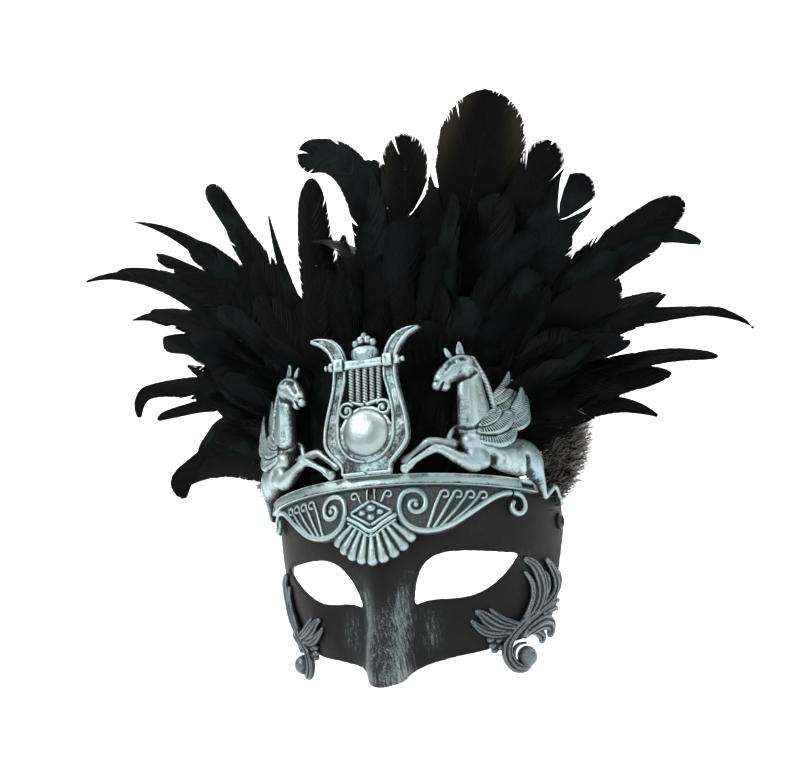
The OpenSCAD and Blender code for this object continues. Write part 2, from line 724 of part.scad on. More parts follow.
left_low = [
    [-64, -150, 62, 148, -104, 12, 0.3], [-66, -163, 62, 109, -178, 9, 0.2],
    [-70, -159, 72, 58, -152, 11, 0], [-72, -138, 72, 74, -140, 11, 0.2],
    [-68, -157, 70, 106, -122, 9, 0.2], [-62, -124, 60, 130, -84, 13, 0.5]
];
right_low = [
    [66, 154, 72, 97, 98, 12, 0.4], [70, 136, 74, 76, 128, 9, 0.1], [64, 130, 66, 126, 76, 13, 0.6],
    [72, 112, 70, 96, 92, 12, 0.6]
];

// Downy marabou at the temples, one soft lump on each side
marabou_plan = [
    [81, 79, 40, 3], [87, 79, 50, 8], [91, 80, 64, 10], [93, 80, 80, 8], [93, 78, 92, 2]
];
module marabou(side) {
    color(fluff_grey)
    for (i = [0:len(marabou_plan) - 2])
        hull()
        for (p = [marabou_plan[i], marabou_plan[i + 1]])
            translate([side * p[0], p[1], p[2]])
            sphere(r = p[3], $fn = 16);
}

// ---------------------------------------------------------------- nodes

mask_shell();
felt_strip();
eyelet(-1);  // eyelet_left
eyelet(1);  // eyelet_right
crown_rail();
scroll_apron();
border_cord(-1);  // border_cord_left
border_cord(1);  // border_cord_right
rib_scrolls(-1);  // rib_scrolls_left
rib_scrolls(1);  // rib_scrolls_right
chevron_bar();
diamond_frame();
diamond_pearls();
palmette_fan();
lyre_plate();
lyre_rims();
lyre_boss();
lyre_volutes();
lyre_strings();
lyre_crossbar();
lyre_finial();
horse(-1);  // horse_left
horse(1);  // horse_right
mane(-1);  // mane_left
mane(1);  // mane_right
wing_near(-1);  // wing_near_left
wing_near(1);  // wing_near_right
wing_far(-1);  // wing_far_left
wing_far(1);  // wing_far_right
cheek_leaves(-1);  // cheek_leaves_left
cheek_leaves(1);  // cheek_leaves_right
cheek_pearl(-1);  // cheek_pearl_left
cheek_pearl(1);  // cheek_pearl_right
plumes(centre_front);  // plumes_centre_front
plumes(centre_back);  // plumes_centre_back
plumes(left_inner);  // plumes_left_inner
plumes(right_inner);  // plumes_right_inner
plumes(left_outer);  // plumes_left_outer
plumes(right_outer);  // plumes_right_outer
plumes(left_low);  // plumes_left_low
plumes(right_low);  // plumes_right_low
marabou(-1);  // marabou_left
marabou(1);  // marabou_right
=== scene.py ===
import math

import bmesh
import bpy
import numpy as np
from mathutils import Matrix, Vector


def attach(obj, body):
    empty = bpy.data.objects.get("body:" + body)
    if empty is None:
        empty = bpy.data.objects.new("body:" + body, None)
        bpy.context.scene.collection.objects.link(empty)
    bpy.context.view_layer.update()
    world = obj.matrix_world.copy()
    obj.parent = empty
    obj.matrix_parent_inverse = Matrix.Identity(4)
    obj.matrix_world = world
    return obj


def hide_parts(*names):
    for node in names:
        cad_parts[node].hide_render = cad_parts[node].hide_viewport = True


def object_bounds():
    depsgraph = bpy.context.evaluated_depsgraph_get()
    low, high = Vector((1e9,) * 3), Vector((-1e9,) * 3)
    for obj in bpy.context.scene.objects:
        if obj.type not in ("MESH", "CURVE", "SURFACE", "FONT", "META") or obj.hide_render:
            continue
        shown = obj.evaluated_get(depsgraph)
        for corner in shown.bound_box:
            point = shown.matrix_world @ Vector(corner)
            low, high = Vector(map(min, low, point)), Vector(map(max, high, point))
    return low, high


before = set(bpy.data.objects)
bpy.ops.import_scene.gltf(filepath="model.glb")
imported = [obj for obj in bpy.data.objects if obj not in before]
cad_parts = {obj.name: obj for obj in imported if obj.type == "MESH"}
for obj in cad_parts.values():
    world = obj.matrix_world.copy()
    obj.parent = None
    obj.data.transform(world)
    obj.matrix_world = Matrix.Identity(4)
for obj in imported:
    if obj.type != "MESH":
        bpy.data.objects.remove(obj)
cad_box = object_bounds()
bpy.ops.object.select_all(action="DESELECT")

# ---- Studio
# The mask floats before a white paper sweep, seen from a little round to its
# left cheek and level with its face, with the camera tipped a little sideways.
camera_place = Vector((0.1935, -0.4922, 0.1089))
camera_right = Vector((0.9381, 0.3223, -0.1266))
camera_up = Vector((0.1211, 0.0370, 0.9919))
camera_back = Vector((0.3244, -0.9459, -0.0043))
lens = bpy.data.cameras.new("camera")
lens.sensor_width = 36
lens.lens = 48.16
camera = bpy.data.objects.new("camera", lens)
turn = Matrix((camera_right, camera_up, camera_back)).transposed().to_4x4()
camera.matrix_world = Matrix.Translation(camera_place) @ turn
bpy.context.collection.objects.link(camera)
bpy.context.scene.camera = camera
bpy.context.scene.view_settings.view_transform = "Standard"

floor_z = cad_box[0][2] - 0.004
bpy.ops.mesh.primitive_plane_add(size=1, location=(0, -0.2, floor_z))
sweep = bpy.context.object
sweep.name = "paper_sweep"
bpy.ops.object.mode_set(mode="EDIT")
bpy.ops.transform.resize(value=(7, 3.4, 1))
bpy.ops.mesh.select_all(action="DESELECT")
bpy.ops.object.mode_set(mode="OBJECT")
for edge in sweep.data.edges:
    edge.select = all(sweep.data.vertices[i].co.y > 0 for i in edge.vertices)
bpy.ops.object.mode_set(mode="EDIT")
bpy.ops.mesh.extrude_region_move(TRANSFORM_OT_translate={"value": (0, 0, 3.5)})
bpy.ops.mesh.select_all(action="SELECT")
bpy.ops.mesh.normals_make_consistent(inside=False)
bpy.ops.object.mode_set(mode="OBJECT")
bpy.ops.object.transform_apply(location=True, rotation=True, scale=True)
bend = sweep.modifiers.new("bend", "BEVEL")
bend.width = 0.9
bend.segments = 16
bend.limit_method = "ANGLE"
bpy.ops.object.modifier_apply(modifier="bend")
bpy.ops.object.shade_smooth()
paper = bpy.data.materials.new("white_paper")
paper.use_nodes = True
paper.node_tree.nodes["Principled BSDF"].inputs["Base Color"].default_value = (0.93, 0.93, 0.93, 1)
paper.node_tree.nodes["Principled BSDF"].inputs["Roughness"].default_value = 0.9
sweep.data.materials.append(paper)

world = bpy.data.worlds.new("studio")
bpy.context.scene.world = world
world.use_nodes = True
world.node_tree.nodes["Background"].inputs["Color"].default_value = (1, 1, 1, 1)
world.node_tree.nodes["Background"].inputs["Strength"].default_value = 0.36


def softbox(name, place, aim, size, watts):
    """A square area light at a place, turned to a point."""
    light = bpy.data.lights.new(name, "AREA")
    light.size = size
    light.energy = watts
    box = bpy.data.objects.new(name, light)
    box.location = place
    box.rotation_euler = (Vector(aim) - Vector(place)).to_track_quat("-Z", "Y").to_euler()
    bpy.context.collection.objects.link(box)


softbox("key", (-0.75, -1.1, 1.15), (0, 0, 0.08), 0.45, 23)
softbox("fill", (1.3, -0.9, 0.5), (0, 0, 0.08), 0.6, 6)
softbox("rim", (0.3, 1.0, 1.3), (0, 0, 0.12), 0.8, 7)
softbox("backdrop_left", (-0.9, 0.5, 1.6), (-0.5, 1.5, 0.3), 1.2, 34)
softbox("backdrop_right", (0.7, 0.5, 1.6), (0.3, 1.5, 0.3), 1.2, 34)

# ---- Mask shell
# The half face: moulded black plastic about 2.4 mm thick, open under the nose
# and at the back, with two eye holes cut through it. It is painted matt black
# and dry-brushed with silver down the nose and beside it.
MM = 0.001
shell_w, shell_depth, shell_t, nose_h = 160.0, 76.0, 2.4, 22.0
crown_z, crown_tilt = 62.0, math.radians(20)


def smooth(a, b, x):
    """Smooth step from 0 at a to 1 at b."""
    s = np.clip((x - a) / (b - a), 0, 1)
    return s * s * (3 - 2 * s)


def bell(x, at, width):
    """Bell curve, 1 at its middle."""
    return np.exp(-(((x - at) / width) ** 2))


def shell_pt(t, z, sunk=0.0):
    """Point of the shell in millimetres at an angle round the head and a height."""
    t, z = np.broadcast_arrays(np.radians(np.asarray(t, float)), np.asarray(z, float))
    x = (shell_w / 2 - 6 * smooth(0, -40, z) - sunk) * np.sin(t)
    ax = np.abs(x)
    front = 1.5 + 0.00315 * np.maximum(z - 15, 0) ** 2 + 5 * smooth(20, -12, z)
    y = front + sunk + (shell_depth - sunk) * (1 - np.cos(t))
    y = y + 6.5 * bell(ax, 34, 24) * bell(z, 8, 15) - 3 * bell(ax, 38, 16) * bell(z, -18, 12)
    nose_w = 7.5 + 5 * smooth(5, -30, z) - 0.8 * sunk
    nose = (2 + (nose_h - 2) * smooth(22, -32, z)) * np.exp(-((ax / nose_w) ** 2.6))
    return np.stack([x, y - nose, z], -1)


low_edge_at = [0, 7, 9, 14, 24, 40, 62, 67, 70, 73, 77, 82, 90]
low_edge_z = [-34, -34, -31.5, -30, -28, -27, -26, -24, -18, -4, 6, 14, 25]


def low_edge(t):
    """Height of the shell's lower edge at an angle round the head."""
    return np.interp(np.abs(t), low_edge_at, low_edge_z)


def top_edge(t):
    """Height of the shell's upper edge, along the leaning crown."""
    y = shell_pt(t, crown_z - 0.2 * (1 - np.cos(np.radians(t))) * shell_depth)[..., 1]
    return crown_z + 2.1 - math.tan(crown_tilt) * (y - 8)


def mesh_piece(name, points, faces, marks=None):
    """A new object from points in millimetres, faces and named vertex marks."""
    mesh = bpy.data.meshes.new(name)
    mesh.from_pydata((np.asarray(points) * MM).tolist(), [], faces)
    for mark, values in (marks or {}).items():
        layer = mesh.attributes.new(mark, "FLOAT", "POINT")
        layer.data.foreach_set("value", np.asarray(values, np.float32))
    mesh.update()
    piece = bpy.data.objects.new(name, mesh)
    bpy.context.collection.objects.link(piece)
    return piece


def only(piece):
    """Selects one piece alone."""
    bpy.ops.object.select_all(action="DESELECT")
    piece.select_set(True)
    bpy.context.view_layer.objects.active = piece


def apply_modifier(piece, kind, **settings):
    """Adds a modifier and applies it."""
    only(piece)
    modifier = piece.modifiers.new(kind.lower(), kind)
    for key, value in settings.items():
        setattr(modifier, key, value)
    bpy.ops.object.modifier_apply(modifier=modifier.name)


def face_out(piece):
    """Merges doubles and turns every face outwards."""
    made = bmesh.new()
    made.from_mesh(piece.data)
    bmesh.ops.remove_doubles(made, verts=made.verts, dist=1e-6)
    bmesh.ops.recalc_face_normals(made, faces=made.faces)
    made.to_mesh(piece.data)
    made.free()


def positions(piece):
    """The piece's points in millimetres."""
    co = np.empty(len(piece.data.vertices) * 3)
    piece.data.vertices.foreach_get("co", co)
    return co.reshape(-1, 3) / MM


def set_mark(piece, mark, values):
    """Stores one number per point, for the finish to read."""
    layer = piece.data.attributes.get(mark) or piece.data.attributes.new(mark, "FLOAT", "POINT")
    layer.data.foreach_set("value", np.asarray(values, np.float32))


def cubic(a, b, c, d, n):
    """Points of a Bezier curve, the two ends included."""
    s = np.linspace(0, 1, n + 1)[:, None]
    a, b, c, d = (np.asarray(p, float) for p in (a, b, c, d))
    return a * (1 - s) ** 3 + b * 3 * s * (1 - s) ** 2 + c * 3 * s * s * (1 - s) + d * s ** 3


def slab(outline, y_front, y_back, name):
    """A straight prism behind a front outline, for cutting."""
    n = len(outline)
    points = [(x, y_front, z) for x, z in outline] + [(x, y_back, z) for x, z in outline]
    faces = [list(range(n)), list(range(2 * n - 1, n - 1, -1))]
    faces += [[i, i + n, (i + 1) % n + n, (i + 1) % n] for i in range(n)]
    cutter = mesh_piece(name, points, faces)
    face_out(cutter)
    return cutter


eye_outline = np.concatenate([
    cubic((13.5, -1), (16, 14), (21, 24.5), (34, 24.2), 14)[:-1],
    cubic((34, 24.2), (42, 24), (52, 21.5), (63.5, 17.5), 10)[:-1],
    cubic((63.5, 17.5), (58, 9), (49, 0.5), (37, 0.2), 12)[:-1],
    cubic((37, 0.2), (28, 0), (20, 3), (13.5, -1), 10)[:-1],
])
across, up = np.linspace(-88, 88, 261), np.linspace(0, 1, 85)
lo, hi = low_edge(across)[:, None], top_edge(across)[:, None]
heights = lo + (hi - lo) * up[None]
outer = shell_pt(across[:, None], heights)
inner = shell_pt(across[:, None], heights, shell_t)[:, ::-1]
loops = np.concatenate([outer, inner], 1)
count, ring = loops.shape[:2]
faces = [
    [i * ring + k, i * ring + (k + 1) % ring, (i + 1) * ring + (k + 1) % ring, (i + 1) * ring + k]
    for i in range(count - 1) for k in range(ring)
]
for start in (0, (count - 1) * ring):
    faces += [[start + k, start + k + 1, start + ring - 2 - k, start + ring - 1 - k]
              for k in range(ring // 2 - 1)]
shell = mesh_piece("shell", loops.reshape(-1, 3), faces)
face_out(shell)
cutter_reach = (-40, 90)
for side in (-1, 1):
    outline = [(side * x, z) for x, z in eye_outline]
    hole = slab(outline, *cutter_reach, "eye_cutter")
    apply_modifier(shell, "BOOLEAN", object=hole, operation="DIFFERENCE", solver="EXACT")
    bpy.data.objects.remove(hole)
eyelet_at, eyelet_hole_r = shell_pt(82, 27, shell_t / 2), 3.3
for side in (-1, 1):
    bpy.ops.mesh.primitive_cylinder_add(
        vertices=32, radius=eyelet_hole_r * MM, depth=16 * MM,
        location=(side * eyelet_at[0] * MM, eyelet_at[1] * MM, eyelet_at[2] * MM),
        rotation=(0, math.pi / 2, -side * math.radians(6)),
    )
    drill = bpy.context.object
    apply_modifier(shell, "BOOLEAN", object=drill, operation="DIFFERENCE", solver="EXACT")
    bpy.data.objects.remove(drill)
apply_modifier(shell, "REMESH", mode="VOXEL", voxel_size=0.8 * MM)
apply_modifier(shell, "SMOOTH", factor=0.5, iterations=4)
only(shell)
bpy.ops.object.shade_smooth()
p = positions(shell)
ax, z = np.abs(p[:, 0]), p[:, 2]
dry = 0.7 * bell(ax, 9, 4) * smooth(20, 2, z) + 0.5 * bell(ax, 2, 7) * smooth(14, -6, z)
# each patch: strength, how far out and how wide, how high up and how tall
for strength, x_at, wide, z_at, tall in (
    (0.5, 21, 6, -14, 14), (0.3, 15, 5, 14, 10), (0.22, 52, 26, 37, 9), (0.30, 66, 7, 12, 12),
    (0.25, 24, 22, -31, 3.5), (0.12, 40, 16, -12, 8),
):
    dry += strength * bell(ax, x_at, wide) * bell(z, z_at, tall)
normal = np.empty(len(p) * 3, np.float32)
shell.data.vertices.foreach_get("normal", normal)
set_mark(shell, "dry", dry * smooth(0.25, -0.05, normal.reshape(-1, 3)[:, 1]))


class Tone:
    """A socket of a material, so that shader maths reads as plain arithmetic."""

    def __init__(self, tree, socket):
        """Keeps the node tree and the socket."""
        self.tree = tree
        self.socket = socket

    def node(self, kind, settings=None, values=None, out=0):
        """Adds a node and returns one of its outputs."""
        made = self.tree.nodes.new("ShaderNode" + kind)
        for key, value in (settings or {}).items():
            setattr(made, key, value)
        for key, value in (values or {}).items():
            if isinstance(value, Tone):
                self.tree.links.new(value.socket, made.inputs[key])
            else:
                made.inputs[key].default_value = value
        return Tone(self.tree, made.outputs[out])

    def maths(self, operation, a, b=0.0):
        """One sum of two tones or numbers."""
        return self.node("Math", {"operation": operation}, {0: a, 1: b})

    def __add__(self, other):
        return self.maths("ADD", self, other)

    def __radd__(self, other):
        return self.maths("ADD", other, self)

    def __sub__(self, other):
        return self.maths("SUBTRACT", self, other)

    def __rsub__(self, other):
        return self.maths("SUBTRACT", other, self)

    def __mul__(self, other):
        return self.maths("MULTIPLY", self, other)

    def __rmul__(self, other):
        return self.maths("MULTIPLY", other, self)

    def step(self, low, high):
        """Nought below low, one above high, smooth between."""
        return self.node(
            "MapRange", {"interpolation_type": "SMOOTHSTEP", "clamp": True},
            {"Value": self, "From Min": low, "From Max": high},
        )

    def blend(self, first, second):
        """A colour from first to second as this value goes from nought to one."""
        return self.node("Mix", {"data_type": "RGBA"}, {0: self, 6: first, 7: second}, out=2)

    def noise(self, scale, detail=4.0, rough=0.55, stretch=(1, 1, 1)):
        """Noise over the object, scale in features to the metre."""
        place = self.node("TexCoord", out=3)
        place = self.node("Mapping", None, {"Vector": place, "Scale": stretch})
        return self.node(
            "TexNoise", None,
            {"Vector": place, "Scale": scale, "Detail": detail, "Roughness": rough},
        )

    def mark(self, name):
        """A number painted on the mesh."""
        return self.node("Attribute", {"attribute_name": name}, out=2)


def new_finish(name):
    """A material with a plain shader, and the tone that its nodes are made from."""
    material = bpy.data.materials.new(name)
    material.use_nodes = True
    return material, Tone(material.node_tree, None)


def set_finish(tone, bump=None, strength=0.3, depth=0.0003, **sockets):
    """Sets the shader's sockets and its bump."""
    shader = tone.tree.nodes["Principled BSDF"]
    if bump is not None:
        sockets["Normal"] = tone.node(
            "Bump", None, {"Strength": strength, "Distance": depth, "Height": bump}
        )
    for key, value in sockets.items():
        key = key.replace("_", " ")
        if isinstance(value, Tone):
            tone.tree.links.new(value.socket, shader.inputs[key])
        else:
            shader.inputs[key].default_value = value


matt_black, tone = new_finish("matt_black_dry_brushed")
grain = tone.noise(900, 5, 0.6)
pits = tone.noise(260, 3, 0.5)
streak, dust = tone.noise(800, 4, 0.6, (1, 1, 0.12)), tone.noise(2400, 3, 0.7)
dry = tone.mark("dry")
speck = (0.6 * dust + 0.4 * streak + 0.2 * dry).step(0.60, 0.82) * dry.step(0.02, 0.5)
ground = pits.blend((0.0020, 0.0018, 0.0018, 1), (0.0044, 0.0039, 0.0037, 1))
set_finish(
    tone, bump=grain * 0.6 + pits + 0.5 * speck, strength=0.35, depth=0.0004,
    Base_Color=speck.blend((0.45 * dry).blend(ground, (0.026, 0.033, 0.035, 1)), (0.30, 0.38, 0.39, 1)),
    Roughness=0.58 - 0.2 * speck + 0.12 * (grain - 0.5),
    Metallic=speck * 0.5, Specular_IOR_Level=0.17,
)
shell.data.materials.append(matt_black)
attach(shell, "root")
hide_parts("mask_shell")

# ---- Plumes
# Dyed cock feathers in a high fan behind the crown, each a slender shaft with
# two vanes of barbs that split in places. Their quills are glued inside the
# shell's top edge, the long ones behind, the short ones in front.
crown_r = 83.0
cos_tilt, sin_tilt = math.cos(crown_tilt), math.sin(crown_tilt)


def crown_pt(place):
    """Millimetre points from (arc along the band, height up it, distance out)."""
    place = np.asarray(place, float)
    u, v, w = place[..., 0], place[..., 1], place[..., 2]
    x = (crown_r + w) * np.sin(u / crown_r)
    y = crown_r - (crown_r + w) * np.cos(u / crown_r)
    return np.stack([x, 8 + y * cos_tilt + v * sin_tilt, crown_z - y * sin_tilt + v * cos_tilt], -1)


def unit(v):
    """Vectors at length one."""
    return v / np.maximum(np.linalg.norm(v, axis=-1, keepdims=True), 1e-9)


# root arc, tip x, y, z, heading of the tip from straight up, half width, bluntness
plume_rows = {
    "plumes_centre_front": [
        (-6, -12, 38, 172, -5, 13, 0.9), (12, 14, 36, 178, 4, 14, 0.9), (-24, -40, 42, 160, -14, 12, 0.8),
        (28, 44, 40, 176, 14, 13, 0.9), (-14, -28, 38, 140, -10, 12, 0.8), (20, 34, 36, 146, 12, 12, 0.8)],
    "plumes_centre_back": [
        (6, 24, 60, 243, 3, 13, 1), (-10, 4, 56, 232, -6, 12, 0.9), (24, 74, 60, 256, 14, 24, 1, 0.95),
        (-2, -40, 60, 240, -98, 10, 1, 0.5), (-18, -29, 50, 227, 6, 14, 0.5), (-26, -55, 45, 212, -8, 6, 0),
        (16, 50, 56, 214, 12, 14, 0.9)],
    "plumes_left_inner": [
        (-34, -97, 60, 237, -30, 6, 1), (-32, -84, 52, 214, -34, 13, 0.4),
        (-38, -112, 56, 205, -52, 13, 0.5), (-44, -92, 48, 180, -40, 14, 0.6),
        (-36, -66, 44, 186, -26, 13, 0.7)],
    "plumes_right_inner": [
        (34, 102, 60, 224, 28, 12, 1), (36, 118, 62, 203, 42, 13, 0.9), (42, 104, 56, 180, 38, 14, 0.8),
        (30, 74, 50, 200, 22, 14, 0.9), (46, 96, 50, 150, 42, 13, 0.8)],
    "plumes_left_outer": [
        (-50, -145, 52, 223, -74, 9, 0), (-54, -188, 60, 194, -98, 9, 0), (-56, -166, 62, 197, -84, 9, 0.2),
        (-52, -132, 58, 188, -74, 12, 0.4), (-60, -150, 62, 168, -88, 13, 0.3),
        (-58, -118, 54, 164, -66, 13, 0.5)],
    "plumes_right_outer": [
        (50, 163, 68, 183, 66, 13, 0.7), (54, 169, 70, 160, 124, 10, 0.2), (58, 150, 66, 165, 74, 10, 0.5),
        (60, 189, 70, 114, 136, 9, 0), (56, 128, 62, 160, 62, 13, 0.7), (62, 151, 70, 133, 92, 12, 0.8)],
    "plumes_left_low": [
        (-64, -150, 62, 148, -104, 12, 0.3), (-66, -163, 62, 109, -178, 9, 0.2),
        (-70, -161, 72, 58, -150, 17, 0.35), (-68, -146, 72, 82, -140, 11, 0.3),
        (-68, -157, 70, 106, -122, 9, 0.2), (-62, -124, 60, 130, -84, 13, 0.5)],
    "plumes_right_low": [
        (66, 154, 72, 97, 98, 12, 0.4), (70, 136, 74, 76, 128, 9, 0.1), (64, 130, 66, 126, 76, 13, 0.6),
        (72, 112, 70, 96, 92, 12, 0.6)],
}
rng = np.random.default_rng(7)


def plume_shape(row):
    """Shaft line of a plume as a function of 0 to 1, and its length."""
    u, tip, heading = row[0], np.array(row[1:4], float), math.radians(row[4])
    root = crown_pt((u, -3, -7.5))
    reach = np.linalg.norm(tip - root)
    rise = crown_pt((u * 1.35, 3.5 + 0.42 * reach, -10))
    lead = tip - 0.34 * reach * np.array([math.sin(heading), 0.15, math.cos(heading)])

    def shaft(s):
        """Bezier curve from the quill to the tip."""
        s = np.asarray(s, float)[..., None]
        return root * (1 - s) ** 3 + rise * 3 * s * (1 - s) ** 2 + lead * 3 * s * s * (1 - s) + tip * s ** 3

    run = shaft(np.linspace(0, 1, 40))
    return shaft, np.linalg.norm(np.diff(run, axis=0), axis=1).sum()


def vane_width(s, half, length, blunt):
    """Half width of the vane along the shaft, with a rounded or a drawn-out tip."""
    body = 0.45 + 0.55 * smooth(0.02, 0.5, s)
    end = 1 - 1.15 * half / length
    rounded = np.sqrt(1 - np.clip((s - end) / (1 - end), 0, 1) ** 2)
    drawn = (1 - np.clip((s - 0.45) / 0.55, 0, 1)) ** 0.85
    return half * body * (blunt * rounded + (1 - blunt) * drawn * (0.25 + 0.75 * rounded))


barb_pitch = 1.15


def plume_mesh(row, turn=0.0):
    """Points, faces, tint and tipness of one plume: its shaft and its barbs."""
    shaft, length = plume_shape(row)
    half, blunt = row[5], row[6]
    tint = row[7] if len(row) > 7 else 0.8 * rng.random()
    barbs = int(length / barb_pitch)
    points, faces, tips = [], [], []

    def frame_at(s):
        """Sideways and facing directions of the vane along the shaft."""
        along = unit(shaft(s + 0.01) - shaft(s - 0.01))
        side = unit(np.cross(along, (0.25, -1, 0.1)))
        face = np.cross(side, along)
        a = (turn * np.clip(s, 0, 1) + 0.15 * turn)[..., None]
        return side * np.cos(a) + face * np.sin(a), face * np.cos(a) - side * np.sin(a)

    # the shaft, a tapered four-sided rod
    rod_rings = 18
    s = np.linspace(0, 0.97, rod_rings)
    side, face = frame_at(s)
    thick = (0.7 * (1 - s) + 0.12)[:, None]
    rod = np.stack([shaft(s) + side * thick, shaft(s) + face * thick,
                    shaft(s) - side * thick, shaft(s) - face * thick], 1)
    points.append(rod.reshape(-1, 3))
    tips.append(np.repeat(s, 4))
    faces += [[i * 4 + k, i * 4 + (k + 1) % 4, i * 4 + 4 + (k + 1) % 4, i * 4 + 4 + k]
              for i in range(rod_rings - 1) for k in range(4)]
    base = 4 * rod_rings
    faces += [[3, 2, 1, 0], [base - 4, base - 3, base - 2, base - 1]]
    step = np.array([0, 0.3, 0.65, 1])
    cup = rng.uniform(-0.1, 0.4)
    for sign in (-1, 1):
        s0 = np.linspace(0.02, 0.992, barbs) + rng.normal(0, 0.15 / length, barbs)
        slope = np.tan(np.radians(np.interp(s0, [0, 0.5, 0.9, 1], [48, 34, 24, 12])))
        look = s0[:, None] + (1 - s0)[:, None] * np.linspace(0, 1, 60)[None]
        past = (look - s0[:, None]) * length * slope[:, None] >= vane_width(look, half, length, blunt)
        past[:, -1] = True
        s1 = look[np.arange(barbs), past.argmax(1)]
        # barbs cling in clumps, which leaves a few splits in the vane
        cuts = np.sort(rng.choice(barbs, max(2, barbs // 22), replace=False))
        clump = np.searchsorted(cuts, np.arange(barbs))
        ends = np.array([s1[clump == c].mean() if (clump == c).any() else 0
                         for c in range(clump.max() + 1)])
        hold = (0.22 * rng.random(clump.max() + 1) ** 3)[clump]
        s1 = np.clip(s1 + (ends[clump] - s1) * hold, s0, 1)
        fray = 1 - 0.03 * rng.random(barbs) - (0.10 * rng.random(clump.max() + 1) ** 3)[clump]
        wide = vane_width(s1, half, length, blunt) * fray
        s = s0[:, None] + (s1 - s0)[:, None] * step[None] ** 1.2
        x = sign * wide[:, None] * step[None] ** 0.85
        side, face = frame_at(s)
        dip = -cup * half * (np.abs(x) / half) ** 2
        spine = shaft(s) + side * x[..., None] + face * (dip + rng.normal(0, 0.1, barbs)[:, None])[..., None]
        run = unit(np.gradient(spine, axis=1))
        # wide plumes and those bent far over have broader barbs, which keep the vane closed
        broad = max(1, half / 12, abs(row[4]) / 70)
        edge = unit(np.cross(run, face)) * (np.array([0.46, 0.6, 0.58, 0.2])[None, :, None] * broad)
        lift = face * np.array([0.2, 0.2, 0.14, 0.03])[None, :, None]
        block = np.stack([spine - edge, spine + lift, spine + edge], 2)
        points.append(block.reshape(-1, 3))
        tips.append(np.repeat(np.clip(0.5 * s + 0.5 * np.abs(x) / half * s, 0, 1).reshape(-1), 3))
        first = base + np.arange(barbs) * 12
        for i in range(3):
            for k in range(3):
                a, b = i * 3 + k, i * 3 + (k + 1) % 3
                faces += np.stack([first + a, first + b, first + b + 3, first + a + 3], 1).tolist()
        faces += np.stack([first + 2, first + 1, first], 1).tolist()
        faces += np.stack([first + 9, first + 10, first + 11], 1).tolist()
        base += barbs * 12
    points, tips = np.concatenate(points), np.concatenate(tips)
    return points, faces, np.full(len(points), tint), tips


def gather(parts):
    """One list of points and faces from several."""
    points, faces, marks, start = [], [], [[] for _ in parts[0][2:]], 0
    for part in parts:
        points.append(part[0])
        faces += [[i + start for i in f] for f in part[1]]
        for kept, values in zip(marks, part[2:]):
            kept.append(values)
        start += len(part[0])
    return np.concatenate(points), faces, [np.concatenate(m) for m in marks]


plume_dye, tone = new_finish("dyed_black_plume")
tint, tipness = tone.mark("tint"), tone.mark("tipness")
sheen = tone.noise(45, 2, 0.5)
brown = tipness.step(0.55, 0.95) * tint.step(0.72, 0.9)
# painted sheen: a green glint, broken up by noise, is painted into the colour of some plumes over their
# black dye
green_sheen = tint.step(0.2, 0.5) * (1 - tint.step(0.6, 0.7)) * sheen.step(0.42, 0.62)
dye_and_sheen = green_sheen.blend((0.0010, 0.0012, 0.0015, 1), (0.0026, 0.0066, 0.0060, 1))
set_finish(
    tone, Base_Color=(0.8 * brown).blend(dye_and_sheen, (0.034, 0.027, 0.016, 1)),
    Roughness=0.42 + 0.3 * sheen, Specular_IOR_Level=0.045,
)


# the plumes are laid right back up to this height above the band and this far round it
combed_top, combed_end = 66, 76


def combed_back(points):
    """Lays the plumes back behind the crown, from its arcs to where it ends above."""
    y, z = points[:, 1] - 8, points[:, 2] - crown_z
    forward, v = y * cos_tilt - z * sin_tilt, y * sin_tilt + z * cos_tilt
    r = np.hypot(points[:, 0], crown_r - forward)
    u = np.arctan2(points[:, 0], crown_r - forward) * crown_r
    w = r - crown_r
    limit = -2.5 + 1.2 * np.maximum(v - combed_top, 0) + 1.5 * np.maximum(np.abs(u) - combed_end, 0)
    over = np.maximum(w - limit, 0)
    held = np.where(v > 0, w - over * (1 - smooth(9, 34, over)), w)
    return crown_pt(np.stack([u, v, held], 1))


def companions(rows, how_many):
    """Shorter, narrower plumes that fill in beside and before the given ones."""
    made = []
    for row in rows:
        for _ in range(how_many):
            u, x, y, z, heading, half, blunt = row[:7]
            root = crown_pt((u, 3.5, -7))
            part = 0.5 + 0.34 * rng.random()
            tip = root + (np.array([x, y, z]) - root) * part
            tip += np.array([rng.normal(0, 6), rng.normal(-2, 3), rng.normal(0, 5)])
            made.append((
                u + rng.normal(0, 4), tip[0], max(tip[1], 30), tip[2],
                heading * (0.5 + 0.5 * part) + rng.normal(0, 10),
                min(half * (0.85 + 0.35 * rng.random()), 14), min(1, blunt + 0.4 * rng.random()),
            ))
    return made


# fillers whose tips would hang lower than this are left out
lowest_fill = 96
for name, rows in plume_rows.items():
    broad_rows = [row for row in rows if row[5] > 8]
    fill = [row for row in companions(broad_rows, 2) if row[3] > lowest_fill]
    parts = [plume_mesh(row, rng.normal(0, 0.2 if row in rows else 0.5)) for row in rows + fill]
    points, faces, (tints, tipnesses) = gather(parts)
    points = combed_back(points)
    fan = mesh_piece(name + "_vanes", points, faces, {"tint": tints, "tipness": tipnesses})
    face_out(fan)
    fan.data.materials.append(plume_dye)
    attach(fan, "root")
    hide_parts(name)

# ---- Crown rail
# A plain moulded band that carries the whole crown, bent round the brow and
# leaning back; cast resin, blackened and then rubbed with silver paint.


